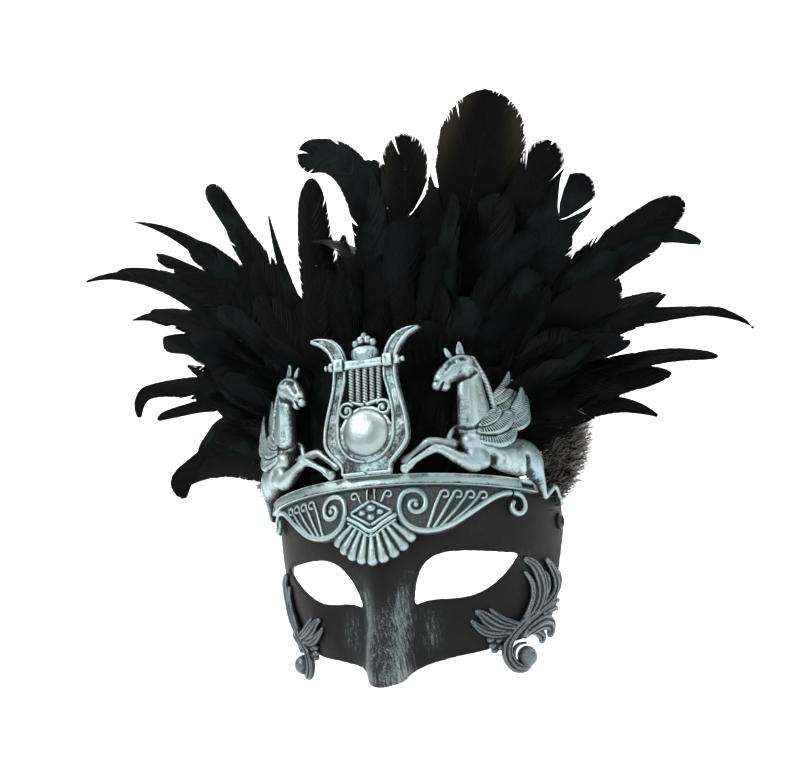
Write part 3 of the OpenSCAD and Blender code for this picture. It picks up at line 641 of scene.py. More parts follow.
def smooth_run(stations, pitch):
    """Rows at an even pitch on a smooth curve through the stations."""
    s = np.asarray(stations, float)
    p = np.concatenate([[2 * s[0] - s[1]], s, [2 * s[-1] - s[-2]]])
    q = np.linspace(0, 1, 12, endpoint=False)[:, None]
    rows = [
        0.5 * (2 * p[i + 1] + (p[i + 2] - p[i]) * q
               + (2 * p[i] - 5 * p[i + 1] + 4 * p[i + 2] - p[i + 3]) * q ** 2
               + (3 * p[i + 1] - p[i] - 3 * p[i + 2] + p[i + 3]) * q ** 3)
        for i in range(len(s) - 1)
    ]
    rows = np.concatenate(rows + [s[-1:]])
    run = np.concatenate([[0], np.cumsum(np.linalg.norm(np.diff(rows[:, :3], axis=0), axis=1))])
    at = np.linspace(0, run[-1], max(4, int(run[-1] / pitch) + 1))
    return np.stack([np.interp(at, run, rows[:, k]) for k in range(rows.shape[1])], 1)


def skin(place, stations, ring, pitch=0.5, blunt=False, carve=None):
    """Skins rows of (three coordinates, half width, half thickness) with a ring."""
    rows = smooth_run(stations, pitch)
    centre = place(rows[:, :3])
    out = unit(place(rows[:, :3] + (0, 0, 1)) - centre)
    along = unit(np.gradient(centre, axis=0))
    across = unit(np.cross(along, out))
    out = np.cross(across, along)
    run = np.concatenate([[0], np.cumsum(np.linalg.norm(np.diff(centre, axis=0), axis=1))])
    close = np.ones(len(rows))
    if not blunt:
        for gap, size in ((run, rows[0, 3]), (run[-1] - run, rows[-1, 3])):
            close *= np.sqrt(1 - (1 - np.clip(gap / max(size, 0.3), 0, 1)) ** 2)
        close = np.maximum(close, 0.05)
    half, thick = (np.maximum(rows[:, k], 0.03) * close for k in (3, 4))
    a, b = (np.broadcast_to(ring[:, k], (len(rows), len(ring))) for k in (0, 1))
    if carve is not None:
        b = carve(run[:, None] / run[-1], a, b)
    points = (centre[:, None] + across[:, None] * (half[:, None] * a)[..., None]
              + out[:, None] * (thick[:, None] * b)[..., None])
    n, m = points.shape[:2]
    faces = [[i * m + k, i * m + (k + 1) % m, (i + 1) * m + (k + 1) % m, (i + 1) * m + k]
             for i in range(n - 1) for k in range(m)]
    faces += [list(range(m)), list(range(n * m - 1, (n - 1) * m - 1, -1))]
    return points.reshape(-1, 3), faces


def mark_proud_and_shade(piece, rounds, scale, lift):
    """Marks how each point stands out from the surface round it, and darkens it where it turns away from the
    front: partly painted shade, partly the unrubbed backs.
    """
    mesh = piece.data
    n = len(mesh.vertices)
    ends = np.empty(len(mesh.edges) * 2, np.int32)
    mesh.edges.foreach_get("vertices", ends)
    a, b = ends.reshape(-1, 2).T
    count = np.bincount(a, minlength=n) + np.bincount(b, minlength=n)
    here = positions(piece)
    normal = np.empty(n * 3, np.float32)
    mesh.vertices.foreach_get("normal", normal)
    mean = here.copy()
    for _ in range(rounds):
        mean = np.stack([
            (np.bincount(a, mean[b, k], n) + np.bincount(b, mean[a, k], n)) / np.maximum(count, 1)
            for k in range(3)], 1)
    normal = normal.reshape(-1, 3)
    rise = ((here - mean) * normal).sum(1)
    # painted shade: points that turn away from the front, such as the rim of a dome, are marked darker; the
    # backs of the castings are also really left unrubbed
    facing = (normal * unit((here - (0, 75, 0)) * (1, 1, 0))).sum(1)
    rubbed_and_shade = 0.6 * (np.clip(facing, -0.2, 1) - 0.78)
    set_mark(piece, "proud_and_shade", np.clip(0.5 + lift + rise / scale / 2 + rubbed_and_shade, 0, 1))


def casting(name, parts, nodes, slot, finish, **settings):
    """Joins skins into one cast piece, which takes a finish and a place in the frame."""
    points, faces, _ = gather(parts)
    piece = mesh_piece(name, points, faces)
    face_out(piece)
    settle(piece, nodes, slot, finish, **settings)


def settle(piece, nodes, slot, finish, voxel=0.0, ease=2, rounds=8, scale=0.16, sharp=50, lift=0.0):
    """Eases a cast piece, marks its hollows and edges and its painted shade, and gives it its finish."""
    if voxel:
        apply_modifier(piece, "REMESH", mode="VOXEL", voxel_size=voxel * MM)
        if ease:
            apply_modifier(piece, "SMOOTH", factor=0.5, iterations=ease)
    only(piece)
    if voxel:
        bpy.ops.object.shade_smooth()
    else:
        bpy.ops.object.shade_smooth_by_angle(angle=math.radians(sharp))
    mark_proud_and_shade(piece, rounds, scale, lift)
    piece.data.materials.append(finish)
    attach(piece, "root")
    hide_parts(*nodes)


def from_node(node, name):
    """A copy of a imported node's shape with its loose triangles merged."""
    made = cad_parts[node]
    mesh = made.data.copy()
    mesh.materials.clear()
    mesh.name = name
    piece = bpy.data.objects.new(name, mesh)
    bpy.context.collection.objects.link(piece)
    face_out(piece)
    return piece


def silver_finish(name, silver, dark, low, high, rough, metal):
    """Silver paint rubbed over a dark ground: dark in hollows, bright on edges, with painted shade where the
    surface turns from the front.
    """
    material, tone = new_finish(name)
    cloud = tone.noise(120, 4, 0.6)
    fine = tone.noise(750, 5, 0.7)
    pit = tone.noise(1700, 3, 0.6)
    # the mark read here carries painted shade on surfaces turned from the front, as well as the rubbed
    # silver
    cover_and_shade = tone.mark("proud_and_shade") + 1.05 * (cloud - 0.5) + 0.95 * (fine - 0.5)
    cover_and_shade = cover_and_shade.step(low, high) * (1 - tone.mark("field") * (0.93 - 0.6 * pit.step(0.56, 0.75)))
    tarnish = tone.noise(45, 3, 0.5).step(0.35, 0.7)
    paint = tarnish.blend(silver, tuple(c * f for c, f in zip(silver, (0.72, 0.8, 0.86, 1))))
    set_finish(
        tone, bump=fine * 0.8 + pit * 0.4 + 0.3 * cover_and_shade, strength=0.5, depth=0.0006,
        Base_Color=cover_and_shade.blend(dark, paint), Roughness=rough + 0.3 * (1 - cover_and_shade) + 0.2 * (fine - 0.5),
        Metallic=cover_and_shade * metal, Specular_IOR_Level=0.35,
    )
    return material


rubbed_silver = silver_finish(
    "rubbed_silver", (0.34, 0.435, 0.44, 1), (0.007, 0.010, 0.012, 1), 0.27, 0.74, 0.35, 0.9)
turn = np.linspace(0, 2 * math.pi, 24, endpoint=False)
round_ring = np.stack([np.cos(turn), np.sin(turn)], 1)
arch = np.linspace(0, math.pi, 13)
cord_ring = np.concatenate([np.stack([np.cos(arch), np.sin(arch) ** 0.8], 1), [[-1, -0.5], [1, -0.5]]])
rail_ring = np.array([
    (-1, -0.2), (-1, 0.6), (-0.96, 0.76), (-0.9, 0.88), (-0.82, 0.92), (-0.74, 0.88), (-0.6, 0.87),
    (-0.3, 0.89), (0, 0.9), (0.3, 0.89), (0.6, 0.87), (0.74, 0.88), (0.82, 0.92), (0.9, 0.88),
    (0.96, 0.76), (1, 0.6), (1, -0.2)])
rail_half, rail_h = 87, 6.1


def notch(s, a, b):
    """A slot sunk near the band's ends."""
    u = (s - 0.5) * 2 * rail_half
    return b - 0.55 * (b > 0) * bell(a, 0, 0.3) * smooth(76, 77, np.abs(u)) * (1 - smooth(84, 85, np.abs(u)))


band = [(u, 0, 0.2, rail_h / 2, 4) for u in np.linspace(-rail_half, rail_half, 30)]
casting("rail", [skin(crown_pt, band, rail_ring, 0.45, blunt=True, carve=notch)],
        ["crown_rail"], "silver_paint", rubbed_silver, sharp=60, rounds=3, lift=0.12)

# ---- Apron and its scrollwork
# Below the rail hangs a pierced-looking apron: a stippled dark ground with
# half-round cords, slender curled ribs, a chevron and a diamond laid on it,
# all cast in one with the crown and rubbed with silver.
stippled = silver_finish(
    "stippled_ground", (0.30, 0.39, 0.40, 1), (0.007, 0.010, 0.012, 1), 0.2, 0.55, 0.42, 0.6)
ground = from_node("scroll_apron", "apron_ground")
settle(ground, ["scroll_apron"], "dark_patina", stippled, voxel=0.5, ease=1)
set_mark(ground, "field", np.ones(len(ground.data.vertices)))


def arc(at, r0, r1, a0, a1, n):
    """A spiral about a point, angles in degrees."""
    s = np.linspace(0, 1, n + 1)
    r, a = r0 + (r1 - r0) * s, np.radians(a0 + (a1 - a0) * s)
    return np.stack([at[0] + r * np.cos(a), at[1] + r * np.sin(a)], 1)


def bead(place, at, across, high, deep):
    """A squashed bead, from its middle and three half sizes."""
    n, m = 14, 28
    a = np.linspace(0, math.pi, n + 1)[:, None]
    b = np.linspace(0, 2 * math.pi, m, endpoint=False)[None]
    points = np.stack([
        across * np.cos(b) * np.sin(a), high * np.cos(a) + 0 * b, deep * np.sin(b) * np.sin(a)], -1)
    points = place(np.asarray(at, float) + points.reshape(-1, 3))
    faces = [[i * m + k, i * m + (k + 1) % m, (i + 1) * m + (k + 1) % m, (i + 1) * m + k]
             for i in range(n) for k in range(m)]
    return points, faces


def cord(place, path, half, lift, high, side=1, pitch=0.4, thin=1.0):
    """A raised cord along a flat path, from half to half * thin wide."""
    path = np.asarray(path, float)
    taper = np.linspace(1, thin, len(path))
    rows = np.stack([side * path[:, 0], path[:, 1], np.full(len(path), lift), half * taper, high * taper], 1)
    return skin(place, rows, cord_ring, pitch)


end_curl = arc((74.4, -10.8), 1.9, 6.4, -250, 110, 40)
lower_sweep = np.concatenate([
    cubic((72, -4.7), (62, -5), (55, -12.5), (44, -19.4), 16)[:-1],
    cubic((44, -19.4), (31, -28.6), (15.5, -27.5), (14.2, -14), 20)[:-1],
    cubic((14.2, -14), (14.0, -8.5), (16, -5.4), (20.4, -5.2), 8)[:-1],
    cubic((20.4, -5.2), (25, -5), (27.4, -8.4), (26.9, -12.4), 8)[:-1],
    cubic((26.9, -12.4), (26.4, -16.6), (20.6, -17.8), (19.3, -13.6), 8)[:-1],
    cubic((19.3, -13.6), (18.8, -10.6), (22.2, -9.4), (23, -12), 8)])
ribs = [
    np.concatenate([
        cubic((27.5 + 2.9 * k, -24.6 + 0.25 * k), (30 + 4 * k, -19), (31 + 6.2 * k, -13),
              (36.4 + 6.4 * k - 2.3, -7.4), 14)[:-1],
        arc((36.4 + 6.4 * k, -7.4), 2.3, 1.1, 180, -150, 18)])
    for k in range(4)]
for side, hand in ((1, "left"), (-1, "right")):
    casting("border_cord_" + hand + "_cast", [
        cord(crown_pt, lower_sweep, 1.55, 0.9, 2.1, side, thin=0.95),
        bead(crown_pt, (side * 22.4, -12.6, 1.4), 1.6, 1.6, 1.9),
        cord(crown_pt, end_curl[::-1], 1.45, 0.9, 2.0, side, thin=0.85),
    ], ["border_cord_" + hand], "silver_paint", rubbed_silver, voxel=0.36, ease=2)
    casting("rib_scrolls_" + hand + "_cast", [
        cord(crown_pt, path, 0.9, 0.8, 1.6, side, thin=1.05) for path in ribs
    ], ["rib_scrolls_" + hand], "silver_paint", rubbed_silver, voxel=0.3, ease=1)

tendril = np.concatenate([
    cubic((4.6, -10.4), (6.5, -9.6), (6, -6), (8.2, -5.0), 10)[:-1],
    arc((8.9, -6.7), 1.9, 1.0, 112, -170, 16)])
chevron = [(13.3, -16.6), (6.6, -20.5), (0, -24.4), (-6.6, -20.5), (-13.3, -16.6)]
below_chevron = np.array(chevron) * (0.98, 1) - (0, 2.6)
parts = [cord(crown_pt, chevron, 1.35, 0.8, 2.0), cord(crown_pt, below_chevron, 0.7, 0.4, 1.9)]
for side in (-1, 1):
    parts.append(cord(crown_pt, tendril, 0.7, 0.8, 1.6, side))
    parts.append(cord(crown_pt, [(1.9, -3.2), (1.9, -6), (2.1, -9.6)], 0.6, 0.8, 1.8, side))
casting("chevron_cast", parts, ["chevron_bar"], "silver_paint", rubbed_silver, voxel=0.3, ease=1)

diamond_x, diamond_top, diamond_low = 11, -9.4, -21.6
middle = (diamond_top + diamond_low) / 2
corners = [(0, diamond_top + 0.2), (diamond_x, middle + 0.3),
           (0, diamond_low - 0.2), (-diamond_x, middle + 0.3)]
parts = []
for (x0, z0), (x1, z1) in zip(corners, corners[1:] + corners[:1]):
    parts.append(cord(crown_pt, [(x0, z0), ((x0 + x1) / 2, (z0 + z1) / 2), (x1, z1)], 1.0, 0.8, 2.0))
casting("diamond_cast", parts, ["diamond_frame"], "silver_paint", rubbed_silver, voxel=0.3, ease=1)

casting("pearls_cast", [
    bead(crown_pt, (0, -13.1, 1.2), 2.7, 2.0, 2.2), bead(crown_pt, (-4.7, -15.3, 1.2), 2.0, 1.7, 2.0),
    bead(crown_pt, (4.7, -15.3, 1.2), 2.0, 1.7, 2.0), bead(crown_pt, (0, -17.7, 1.2), 2.2, 1.8, 2.1),
], ["diamond_pearls"], "silver_paint", rubbed_silver)

flute_ring = np.stack([np.cos(turn), np.sign(np.sin(turn)) * np.abs(np.sin(turn)) ** 1.1], 1)
parts = []
for k in range(-4, 5):
    a = math.radians(k * 12.6)
    rows = []
    for r in (10, 14, 18, 22, 25, 27.6, 29.2):
        r = r - 0.35 * abs(k) * (r > 20)
        rows.append((r * math.sin(a), -12 - r * math.cos(a), -0.6 - 0.05 * max(r - 24, 0) ** 1.5,
                     1.15 + 1.75 * (r - 8) / 19, 2.5 - 0.1 * max(r - 24, 0)))
    parts.append(skin(crown_pt, rows, flute_ring, 0.5))
sheet = [(0, -22, -2.0, 8, 1.5), (0, -27, -2.4, 12.5, 1.5),
         (0, -32, -2.8, 14.5, 1.5), (0, -37, -3.0, 12, 1.2)]
parts.append(skin(crown_pt, sheet, round_ring, 0.8))
casting("palmette_cast", parts, ["palmette_fan"], "silver_paint", rubbed_silver,
        voxel=0.36, ease=1, lift=-0.12)

# ---- Lyre
# A flat cast plate in the shape of a lyre, open in the middle, with raised
# rims round darkened fields, a domed boss, two volutes, five twisted strings
# and a crossbar clamped to its arms; it is glued behind the rail.
lyre_lean, lyre_t = math.radians(16.5), 3.2


def lyre_pt(place):
    """Point from (across, up the leaning plate, out of its back)."""
    place = np.asarray(place, float)
    x, s, out = place[..., 0], place[..., 1], place[..., 2]
    return np.stack([
        x, 5 + s * math.sin(lyre_lean) - out * math.cos(lyre_lean),
        66.1 + s * math.cos(lyre_lean) + out * math.sin(lyre_lean)], -1)


plate = from_node("lyre_plate", "lyre_plate_cast")
settle(plate, ["lyre_plate"], "dark_patina", rubbed_silver, voxel=0.45, ease=1, lift=-0.09)
outer_rim = np.concatenate([
    [(0, 0.6), (7, 0.6), (12, 0.8), (12.5, 3)], cubic((12.9, 5), (16.4, 9.9), (22.5, 12.8), (22, 20), 12),
    cubic((22, 20), (21.5, 33), (16.3, 40), (16.3, 55), 16)[1:],
    cubic((16.3, 56), (16.4, 63), (21, 70), (30, 72.8), 12)])
inner_rim = np.concatenate([
    arc((0, 21.2), 14.9, 14.9, -90, 0, 16), cubic((14.9, 23), (15.4, 36), (11.8, 43), (10.8, 50), 12),
    [(10.8, 55)]])
horn_rim = cubic((10.7, 57), (12.8, 71.5), (22, 74.4), (30, 73), 16)
parts = []
for side in (-1, 1):
    parts.append(cord(lyre_pt, outer_rim, 1.15, lyre_t - 0.6, 2.2, side, pitch=0.5))
    parts.append(cord(lyre_pt, inner_rim, 0.95, lyre_t - 0.6, 2.0, side, pitch=0.5))
    parts.append(cord(lyre_pt, horn_rim, 0.9, lyre_t - 0.6, 2.0, side, pitch=0.5, thin=0.7))
casting("lyre_rims_cast", parts, ["lyre_rims"], "silver_paint", rubbed_silver, voxel=0.36, ease=2)

boss_r, boss_rise = 13.0, 8.6
n, m = 26, 96
a = np.linspace(0, 1, n)[:, None]
b = np.linspace(0, 2 * math.pi, m, endpoint=False)[None]
dome = np.stack([
    boss_r * a * np.cos(b), 21.2 + boss_r * a * np.sin(b),
    lyre_t - 3 + boss_rise * np.sqrt(1 - 0.985 * a ** 2.2) + 0 * b], -1)
bottom = dome[-1:] - (0, 0, 3.5)
dome = np.concatenate([dome, bottom, bottom * (0, 0, 1) + (0, 21.2, 0)])
faces = [[i * m + k, i * m + (k + 1) % m, (i + 1) * m + (k + 1) % m, (i + 1) * m + k]
         for i in range(n + 1) for k in range(m)]
polished_silver = silver_finish(
    "polished_silver", (0.36, 0.42, 0.42, 1), (0.06, 0.07, 0.07, 1), 0.1, 0.75, 0.34, 0.95)
casting("boss_cast", [(lyre_pt(dome.reshape(-1, 3)), faces)], ["lyre_boss"], "silver_paint",
        polished_silver, rounds=4, lift=0.08)

volute = arc((9.8, 33), 4.3, 1.3, 150, -330, 40)
brow = cubic((0, 35.6), (4, 35.8), (6, 37.6), (9.6, 37.3), 10)
parts = []
for side in (-1, 1):
    parts.append(cord(lyre_pt, volute, 1.15, lyre_t - 1.2, 3.2, side, thin=0.8))
    parts.append(cord(lyre_pt, brow, 1.2, lyre_t - 1.2, 2.8, side))
    parts.append(bead(lyre_pt, (side * 9.8, 33, lyre_t + 0.4), 1.5, 1.5, 2.0))
casting("volutes_cast", parts, ["lyre_volutes"], "silver_paint", rubbed_silver, voxel=0.3, ease=1)

parts = []
for k in range(-2, 3):
    for strand in range(2):
        n = 260
        s = np.linspace(0, 1, n)
        twist = 2 * math.pi * (s * 6.5 + strand / 2)
        rows = np.stack([
            k * 3.75 + 0.72 * np.cos(twist), 36.2 + 19.8 * s, 2.6 + 0.72 * np.sin(twist),
            np.full(n, 0.8), np.full(n, 0.8)], 1)
        parts.append(skin(lyre_pt, rows, round_ring[::2], 0.22))
casting("strings_cast", parts, ["lyre_strings"], "silver_paint", rubbed_silver,
        voxel=0.2, ease=1, rounds=6, scale=0.06)

box_ring = np.stack([
    np.sign(np.cos(turn)) * np.abs(np.cos(turn)) ** 0.45,
    np.sign(np.sin(turn)) * np.abs(np.sin(turn)) ** 0.45], 1)
bar = [(x, 57 + 0.15 * math.cos(x), lyre_t + 0.4, 2.3, 1.8) for x in np.linspace(-19, 19, 14)]
parts = [skin(lyre_pt, bar, box_ring, 0.5, blunt=True)]
for side in (-1, 1):
    clamp = [(side * x, 57.2, lyre_t + 0.8, h, 2.8)
             for x, h in ((10.9, 3.3), (12.5, 3.5), (14.2, 3.5), (15.8, 3.3))]
    parts.append(skin(lyre_pt, clamp, box_ring, 0.5, blunt=True))
    parts.append(bead(lyre_pt, (side * 19.4, 57, lyre_t + 0.4), 1.6, 1.3, 1.3))
    parts.append(bead(lyre_pt, (side * 20.9, 57, lyre_t + 0.4), 1.2, 1.5, 1.5))
casting("crossbar_cast", parts, ["lyre_crossbar"], "silver_paint", rubbed_silver, voxel=0.34, ease=2)

profile = [(0.4, 57.6), (5, 57.8), (6.6, 60), (7.5, 62.4), (6.8, 65), (4.4, 66.4), (0.4, 66.6)]
rows = [(0, s, lyre_t / 2 + 0.6, r, r * 0.55) for r, s in profile]
parts = [skin(lyre_pt, rows, round_ring, 0.5)]
for x, s, r in ((-4.8, 68.2, 1.9), (-1.9, 69.8, 2.1), (1.9, 69.8, 2.1), (4.8, 68.2, 1.9), (0, 72, 1.8)):
    parts.append(bead(lyre_pt, (x, s, lyre_t / 2 + 1.2), r * 0.95, r * 1.1, r))
for x, s in ((-4.4, 62), (-1.5, 62.6), (1.5, 62.6), (4.4, 62)):
    parts.append(bead(lyre_pt, (x, s, lyre_t / 2 + 3), 1.1, 2.6, 1.6))
casting("finial_cast", parts, ["lyre_finial"], "silver_paint", rubbed_silver, voxel=0.34, ease=1)

# ---- Winged horses
# A rearing winged horse sits on the rail each side of the lyre, its forelegs
# reaching in and its hind leg trailing past the rail's end. Each is one relief
# casting with a roped mane and two combed wings set on it.


def flat_pt(place):
    """The crown's own arc, height and distance out, unbent."""
    return np.asarray(place, float)


def bend_on(piece, side):
    """Bends a piece modelled flat round the crown, to one side."""
    p = positions(piece)
    co = crown_pt(np.stack([side * p[:, 0], p[:, 1], p[:, 2]], 1)) * MM
    piece.data.vertices.foreach_set("co", co.astype(np.float32).ravel())
    if side < 0:
        piece.data.flip_normals()
    piece.data.update()


def near_line(p, line):
    """Distance of flat points from a polyline, across and up only."""
    line = np.asarray(line, float)
    best = np.full(len(p), 1e9)
    for a, b in zip(line, line[1:]):
        q = np.clip(((p[:, :2] - a) @ (b - a)) / max((b - a) @ (b - a), 1e-9), 0, 1)
        best = np.minimum(best, np.linalg.norm(p[:, :2] - a - q[:, None] * (b - a), axis=1))
    return best


def modelled(name, parts, voxel, ease, tooling=()):
    """Flat-modelled skins fused, eased and tooled: lines with a width and a depth."""
    points, faces, _ = gather(parts)
    piece = mesh_piece(name, points, faces)
    face_out(piece)
    apply_modifier(piece, "REMESH", mode="VOXEL", voxel_size=voxel * MM)
    apply_modifier(piece, "SMOOTH", factor=0.5, iterations=ease)
    if tooling:
        p = positions(piece)
        normal = np.empty(len(p) * 3, np.float32)
        piece.data.vertices.foreach_get("normal", normal)
        front = smooth(-0.1, 0.5, normal.reshape(-1, 3)[:, 2])
        for line, width, depth, low in tooling:
            p[:, 2] -= depth * front * bell(near_line(p, line), 0, width) * (p[:, 2] > low)
        piece.data.vertices.foreach_set("co", (p * MM).astype(np.float32).ravel())
        apply_modifier(piece, "SMOOTH", factor=0.35, iterations=1)
    return piece


# each row: arc, height, distance out, half width, half thickness
neck = [(50.4, 17, 7.6, 8, 4.6), (50.2, 22, 8.4, 8.3, 4.9), (49.8, 28, 9.4, 8.1, 5),
        (49.2, 34, 10.2, 7.6, 4.9), (48.3, 40, 10.8, 6.8, 4.6), (47.6, 46, 11.2, 6.1, 4.2),
        (47.4, 51, 11.4, 5.6, 3.8), (47.2, 56, 11.6, 4.6, 3.3), (46.8, 59.6, 11.7, 3, 2.6)]
skull = [(50, 57.2, 11.8, 3, 2.6), (48.2, 57, 12.2, 4.6, 3.6), (45, 56.4, 12.6, 5.6, 4.1),
         (41.8, 54.8, 12.9, 5.7, 4.1), (38.6, 52.2, 13, 5.1, 3.7), (36, 49.4, 13, 4.4, 3.3),
         (34.4, 47, 13, 3.6, 3), (33.2, 44.8, 13, 2.5, 2.4)]
upper_lip = [(34, 47.2, 13, 3, 2.7), (32.7, 44.6, 13, 2.3, 2.4), (32.4, 42.4, 13, 1.5, 1.8)]
lower_lip = [(37.6, 47, 12.8, 2.7, 2.6), (36.2, 44.2, 12.8, 2.1, 2.3), (35.5, 42, 12.8, 1.4, 1.8)]
barrel = [(42.6, 17.4, 8, 2.6, 2.8), (44.4, 17.5, 8.4, 4.8, 4.4), (47.6, 17.3, 8.6, 6.5, 5.4),
          (53, 16, 8.4, 7.2, 6.0), (58, 14.2, 7.4, 6.4, 5.8), (63, 12.4, 6.6, 7.6, 6.0),
          (69, 12.4, 6, 9, 6.4), (75, 13, 5.6, 9.9, 6.6), (80, 12, 5.2, 9, 6.0),
          (84, 9.4, 4.8, 6.2, 4.8), (87, 6.2, 4.2, 3, 3)]
thigh = [(74.6, 16.4, 5.6, 5, 4.4), (78.6, 12.4, 6.4, 7.6, 5.2), (82.2, 8.4, 6, 6.2, 4.6),
         (85.6, 5, 5, 4.2, 3.6), (88, 1.8, 4.4, 2.9, 2.8), (90, -1.8, 3.8, 2.1, 2.2),
         (92, -5.4, 3.2, 1.7, 1.7)]
hock = [(91.4, -5, 3.2, 1.6, 1.6), (94.6, -2.8, 3, 1.3, 1.4),
        (98.6, 0.8, 3, 1.4, 1.4), (102.4, 3.6, 2.8, 1.7, 1.5)]
hoof = [(101.8, 3.8, 2.8, 1.6, 1.5), (104.2, 0.6, 2.6, 1.3, 1.3),
        (107.4, -3.4, 2.4, 1.4, 1.3), (109.6, -5.6, 2.2, 2, 1.5)]
elbow = [(47.4, 15.6, 9.2, 5.6, 4.6), (50.4, 10.4, 9.4, 6, 5),
         (52.4, 6.6, 9, 5, 4.8), (53.4, 3.8, 8.4, 3.4, 3.6)]
near_foreleg = [(53.4, 6.6, 9.2, 4.6, 4.2), (48, 7, 9.5, 4.6, 4.1), (42, 9, 9.7, 3.3, 3.3),
                (36.6, 12.1, 9.8, 2.5, 2.7), (32.6, 13.6, 9.8, 2.3, 2.5), (29.4, 12.4, 9.6, 1.9, 2.1),
                (25.4, 9.8, 9.2, 1.5, 1.8), (22, 7.4, 8.8, 1.5, 1.7), (20.4, 5.9, 8.5, 2, 2),
                (19.4, 5, 8.4, 1.8, 1.9), (17.8, 4.1, 8.1, 2.7, 2.4), (15.8, 3.4, 8, 2.9, 2.2)]
far_foreleg = [(43, 17, 5.6, 3, 2.6), (37, 17.4, 5.2, 2.5, 2.3), (32, 18.4, 5, 2.3, 2.2),
               (28.4, 18.2, 4.8, 2.1, 2.1), (25, 15.6, 4.6, 1.6, 1.7), (21, 12.4, 4.4, 1.4, 1.6),
               (18.2, 10, 4.2, 1.9, 1.8), (15.8, 8.2, 4, 2.2, 1.9)]
far_shoulder = [(45, 27.4, 5, 1.0, 1.2), (41, 24.8, 5.6, 1.3, 1.4),
                (38.6, 20.6, 5.8, 1.4, 1.5), (38.2, 15.6, 5.6, 1.2, 1.3)]
tall_ear = [(43.6, 60, 12.6, 1.7, 1.7), (43.2, 63.2, 12.9, 1.9, 1.6),
            (43, 66.2, 12.9, 1.5, 1.4), (42.8, 69, 12.7, 0.5, 0.8)]
small_ear = [(38.8, 60, 12.2, 1.6, 1.4), (37.6, 62.6, 12.2, 1.4, 1.3), (36.2, 65.8, 12, 0.4, 0.6)]
# tooled lines, each: its path, half width, depth (raised where negative) and the least distance out
tooling = [
    ([(38.2, 56.6), (41.2, 57.8), (43, 58.8)], 1.5, 1.5, 11),        # eye socket
    ([(38.4, 58.8), (41.2, 60), (43.6, 60.3)], 0.8, -0.9, 11),       # brow
    ([(41.2, 57.5), (41.4, 57.6)], 0.95, -1.7, 11),                  # eyeball
    ([(37.6, 55), (36.2, 52.4), (35, 50.4)], 1.1, 0.9, 11),          # furrow below the eye
    ([(32.4, 47.2), (33, 46.8)], 0.75, 1.1, 11),                     # nostril
    ([(35.2, 46), (34.3, 43.6), (33.9, 40.8)], 0.5, 1.5, 9),         # mouth
    ([(39.4, 46.4), (42.4, 48.3), (46.4, 49.6), (49.4, 52.6)], 1.2, 1.7, 8),   # under the jaw
    ([(45.6, 54.8), (45.8, 54.8)], 3.2, -1.2, 11),                   # cheek
    ([(45.6, 46), (45, 36), (45.4, 27)], 1.7, 0.45, 8),              # throat
    ([(50.2, 45), (51.6, 38), (52, 31)], 1.9, 0.5, 8),               # neck muscle
    ([(41.6, 24.6), (45.4, 23.2), (49.2, 23.8), (53, 28.2), (57.6, 32.6)], 0.95, 1.4, 4),  # collar
    ([(46.4, 17.5), (46.6, 17.5)], 4.2, -1.0, 6),                    # breast
    ([(75, 12.4), (75.6, 8.6), (77, 5.2), (79.8, 3.0)], 1.5, 1.7, 2),       # crease before the thigh
    ([(58, 9.4), (58, 6.6), (58.2, 2.6)], 1.7, 2.4, 2),              # behind the elbow
    ([(60, 15.6), (66, 16.4), (72, 19)], 2.2, 0.4, 2),               # flank
    ([(62, 12), (63, 7)], 1.3, 0.3, 2), ([(66, 13), (67, 7)], 1.3, 0.3, 2),
    ([(19.2, 7), (18.6, 2.4)], 0.5, 0.8, 4),                         # hoof ring
    ([(33.4, 15.8), (31.6, 11.8)], 1.0, 0.4, 4),                     # knee
]
mane_line = smooth_run([(49.1, 60.2, 11.6), (50.8, 56.4, 12), (52.8, 52.4, 12),
                        (54.4, 48.6, 11.8), (55.8, 44.6, 11.4), (57.2, 40.7, 11),
                        (58.2, 36.8, 10.6), (58.7, 33, 10.4), (58.6, 29.5, 10.4)], 1.9)
# each feather: arc, height, distance out, half width, half thickness
near_feathers = [
    [(66.2, 31.4, 12.4, 1.8, 1.3), (69.6, 36.8, 12.8, 2.7, 1.5),
     (72.2, 43, 12.6, 2.2, 1.3), (72.4, 49.6, 12, 0.5, 0.8)],
    [(66.2, 28.4, 12.6, 1.8, 1.3), (70.8, 33, 13, 2.7, 1.5),
     (74, 38.4, 12.8, 2.2, 1.3), (75, 44.4, 12, 0.5, 0.8)],
    [(65.2, 25.2, 12.8, 1.8, 1.3), (70.2, 27.6, 13.2, 2.5, 1.5),
     (74.2, 31.8, 13, 2.3, 1.3), (75.8, 38, 12.2, 0.5, 0.8)],
    [(51.6, 26.6, 12.6, 1.0, 1.3), (54.4, 29.6, 13, 1.6, 1.5),
     (56.8, 32.2, 13, 1.6, 1.5), (58.2, 34.4, 12.8, 0.9, 1.1)],
    [(50.4, 24.6, 13, 1.2, 1.4), (54.3, 26.6, 13.6, 1.9, 1.6),
     (58, 29.8, 13.6, 2.2, 1.6), (60.8, 34.2, 13, 1.3, 1.2)],
    [(49.2, 21.9, 13.4, 1.4, 1.5), (54.9, 22.3, 14.2, 2.4, 1.8), (59.6, 24.7, 14.2, 3.2, 1.8),
     (63.4, 29, 13.9, 3.2, 1.6), (65.6, 34.4, 13.2, 1.8, 1.2)],
    [(48, 18.4, 13.8, 1.6, 1.5), (54.2, 16.9, 14.6, 2.5, 1.8), (59.6, 17.3, 14.6, 3.1, 1.8),
     (64.4, 20.4, 14.2, 3.0, 1.6), (68, 25.6, 13.2, 1.0, 1.0)],
]
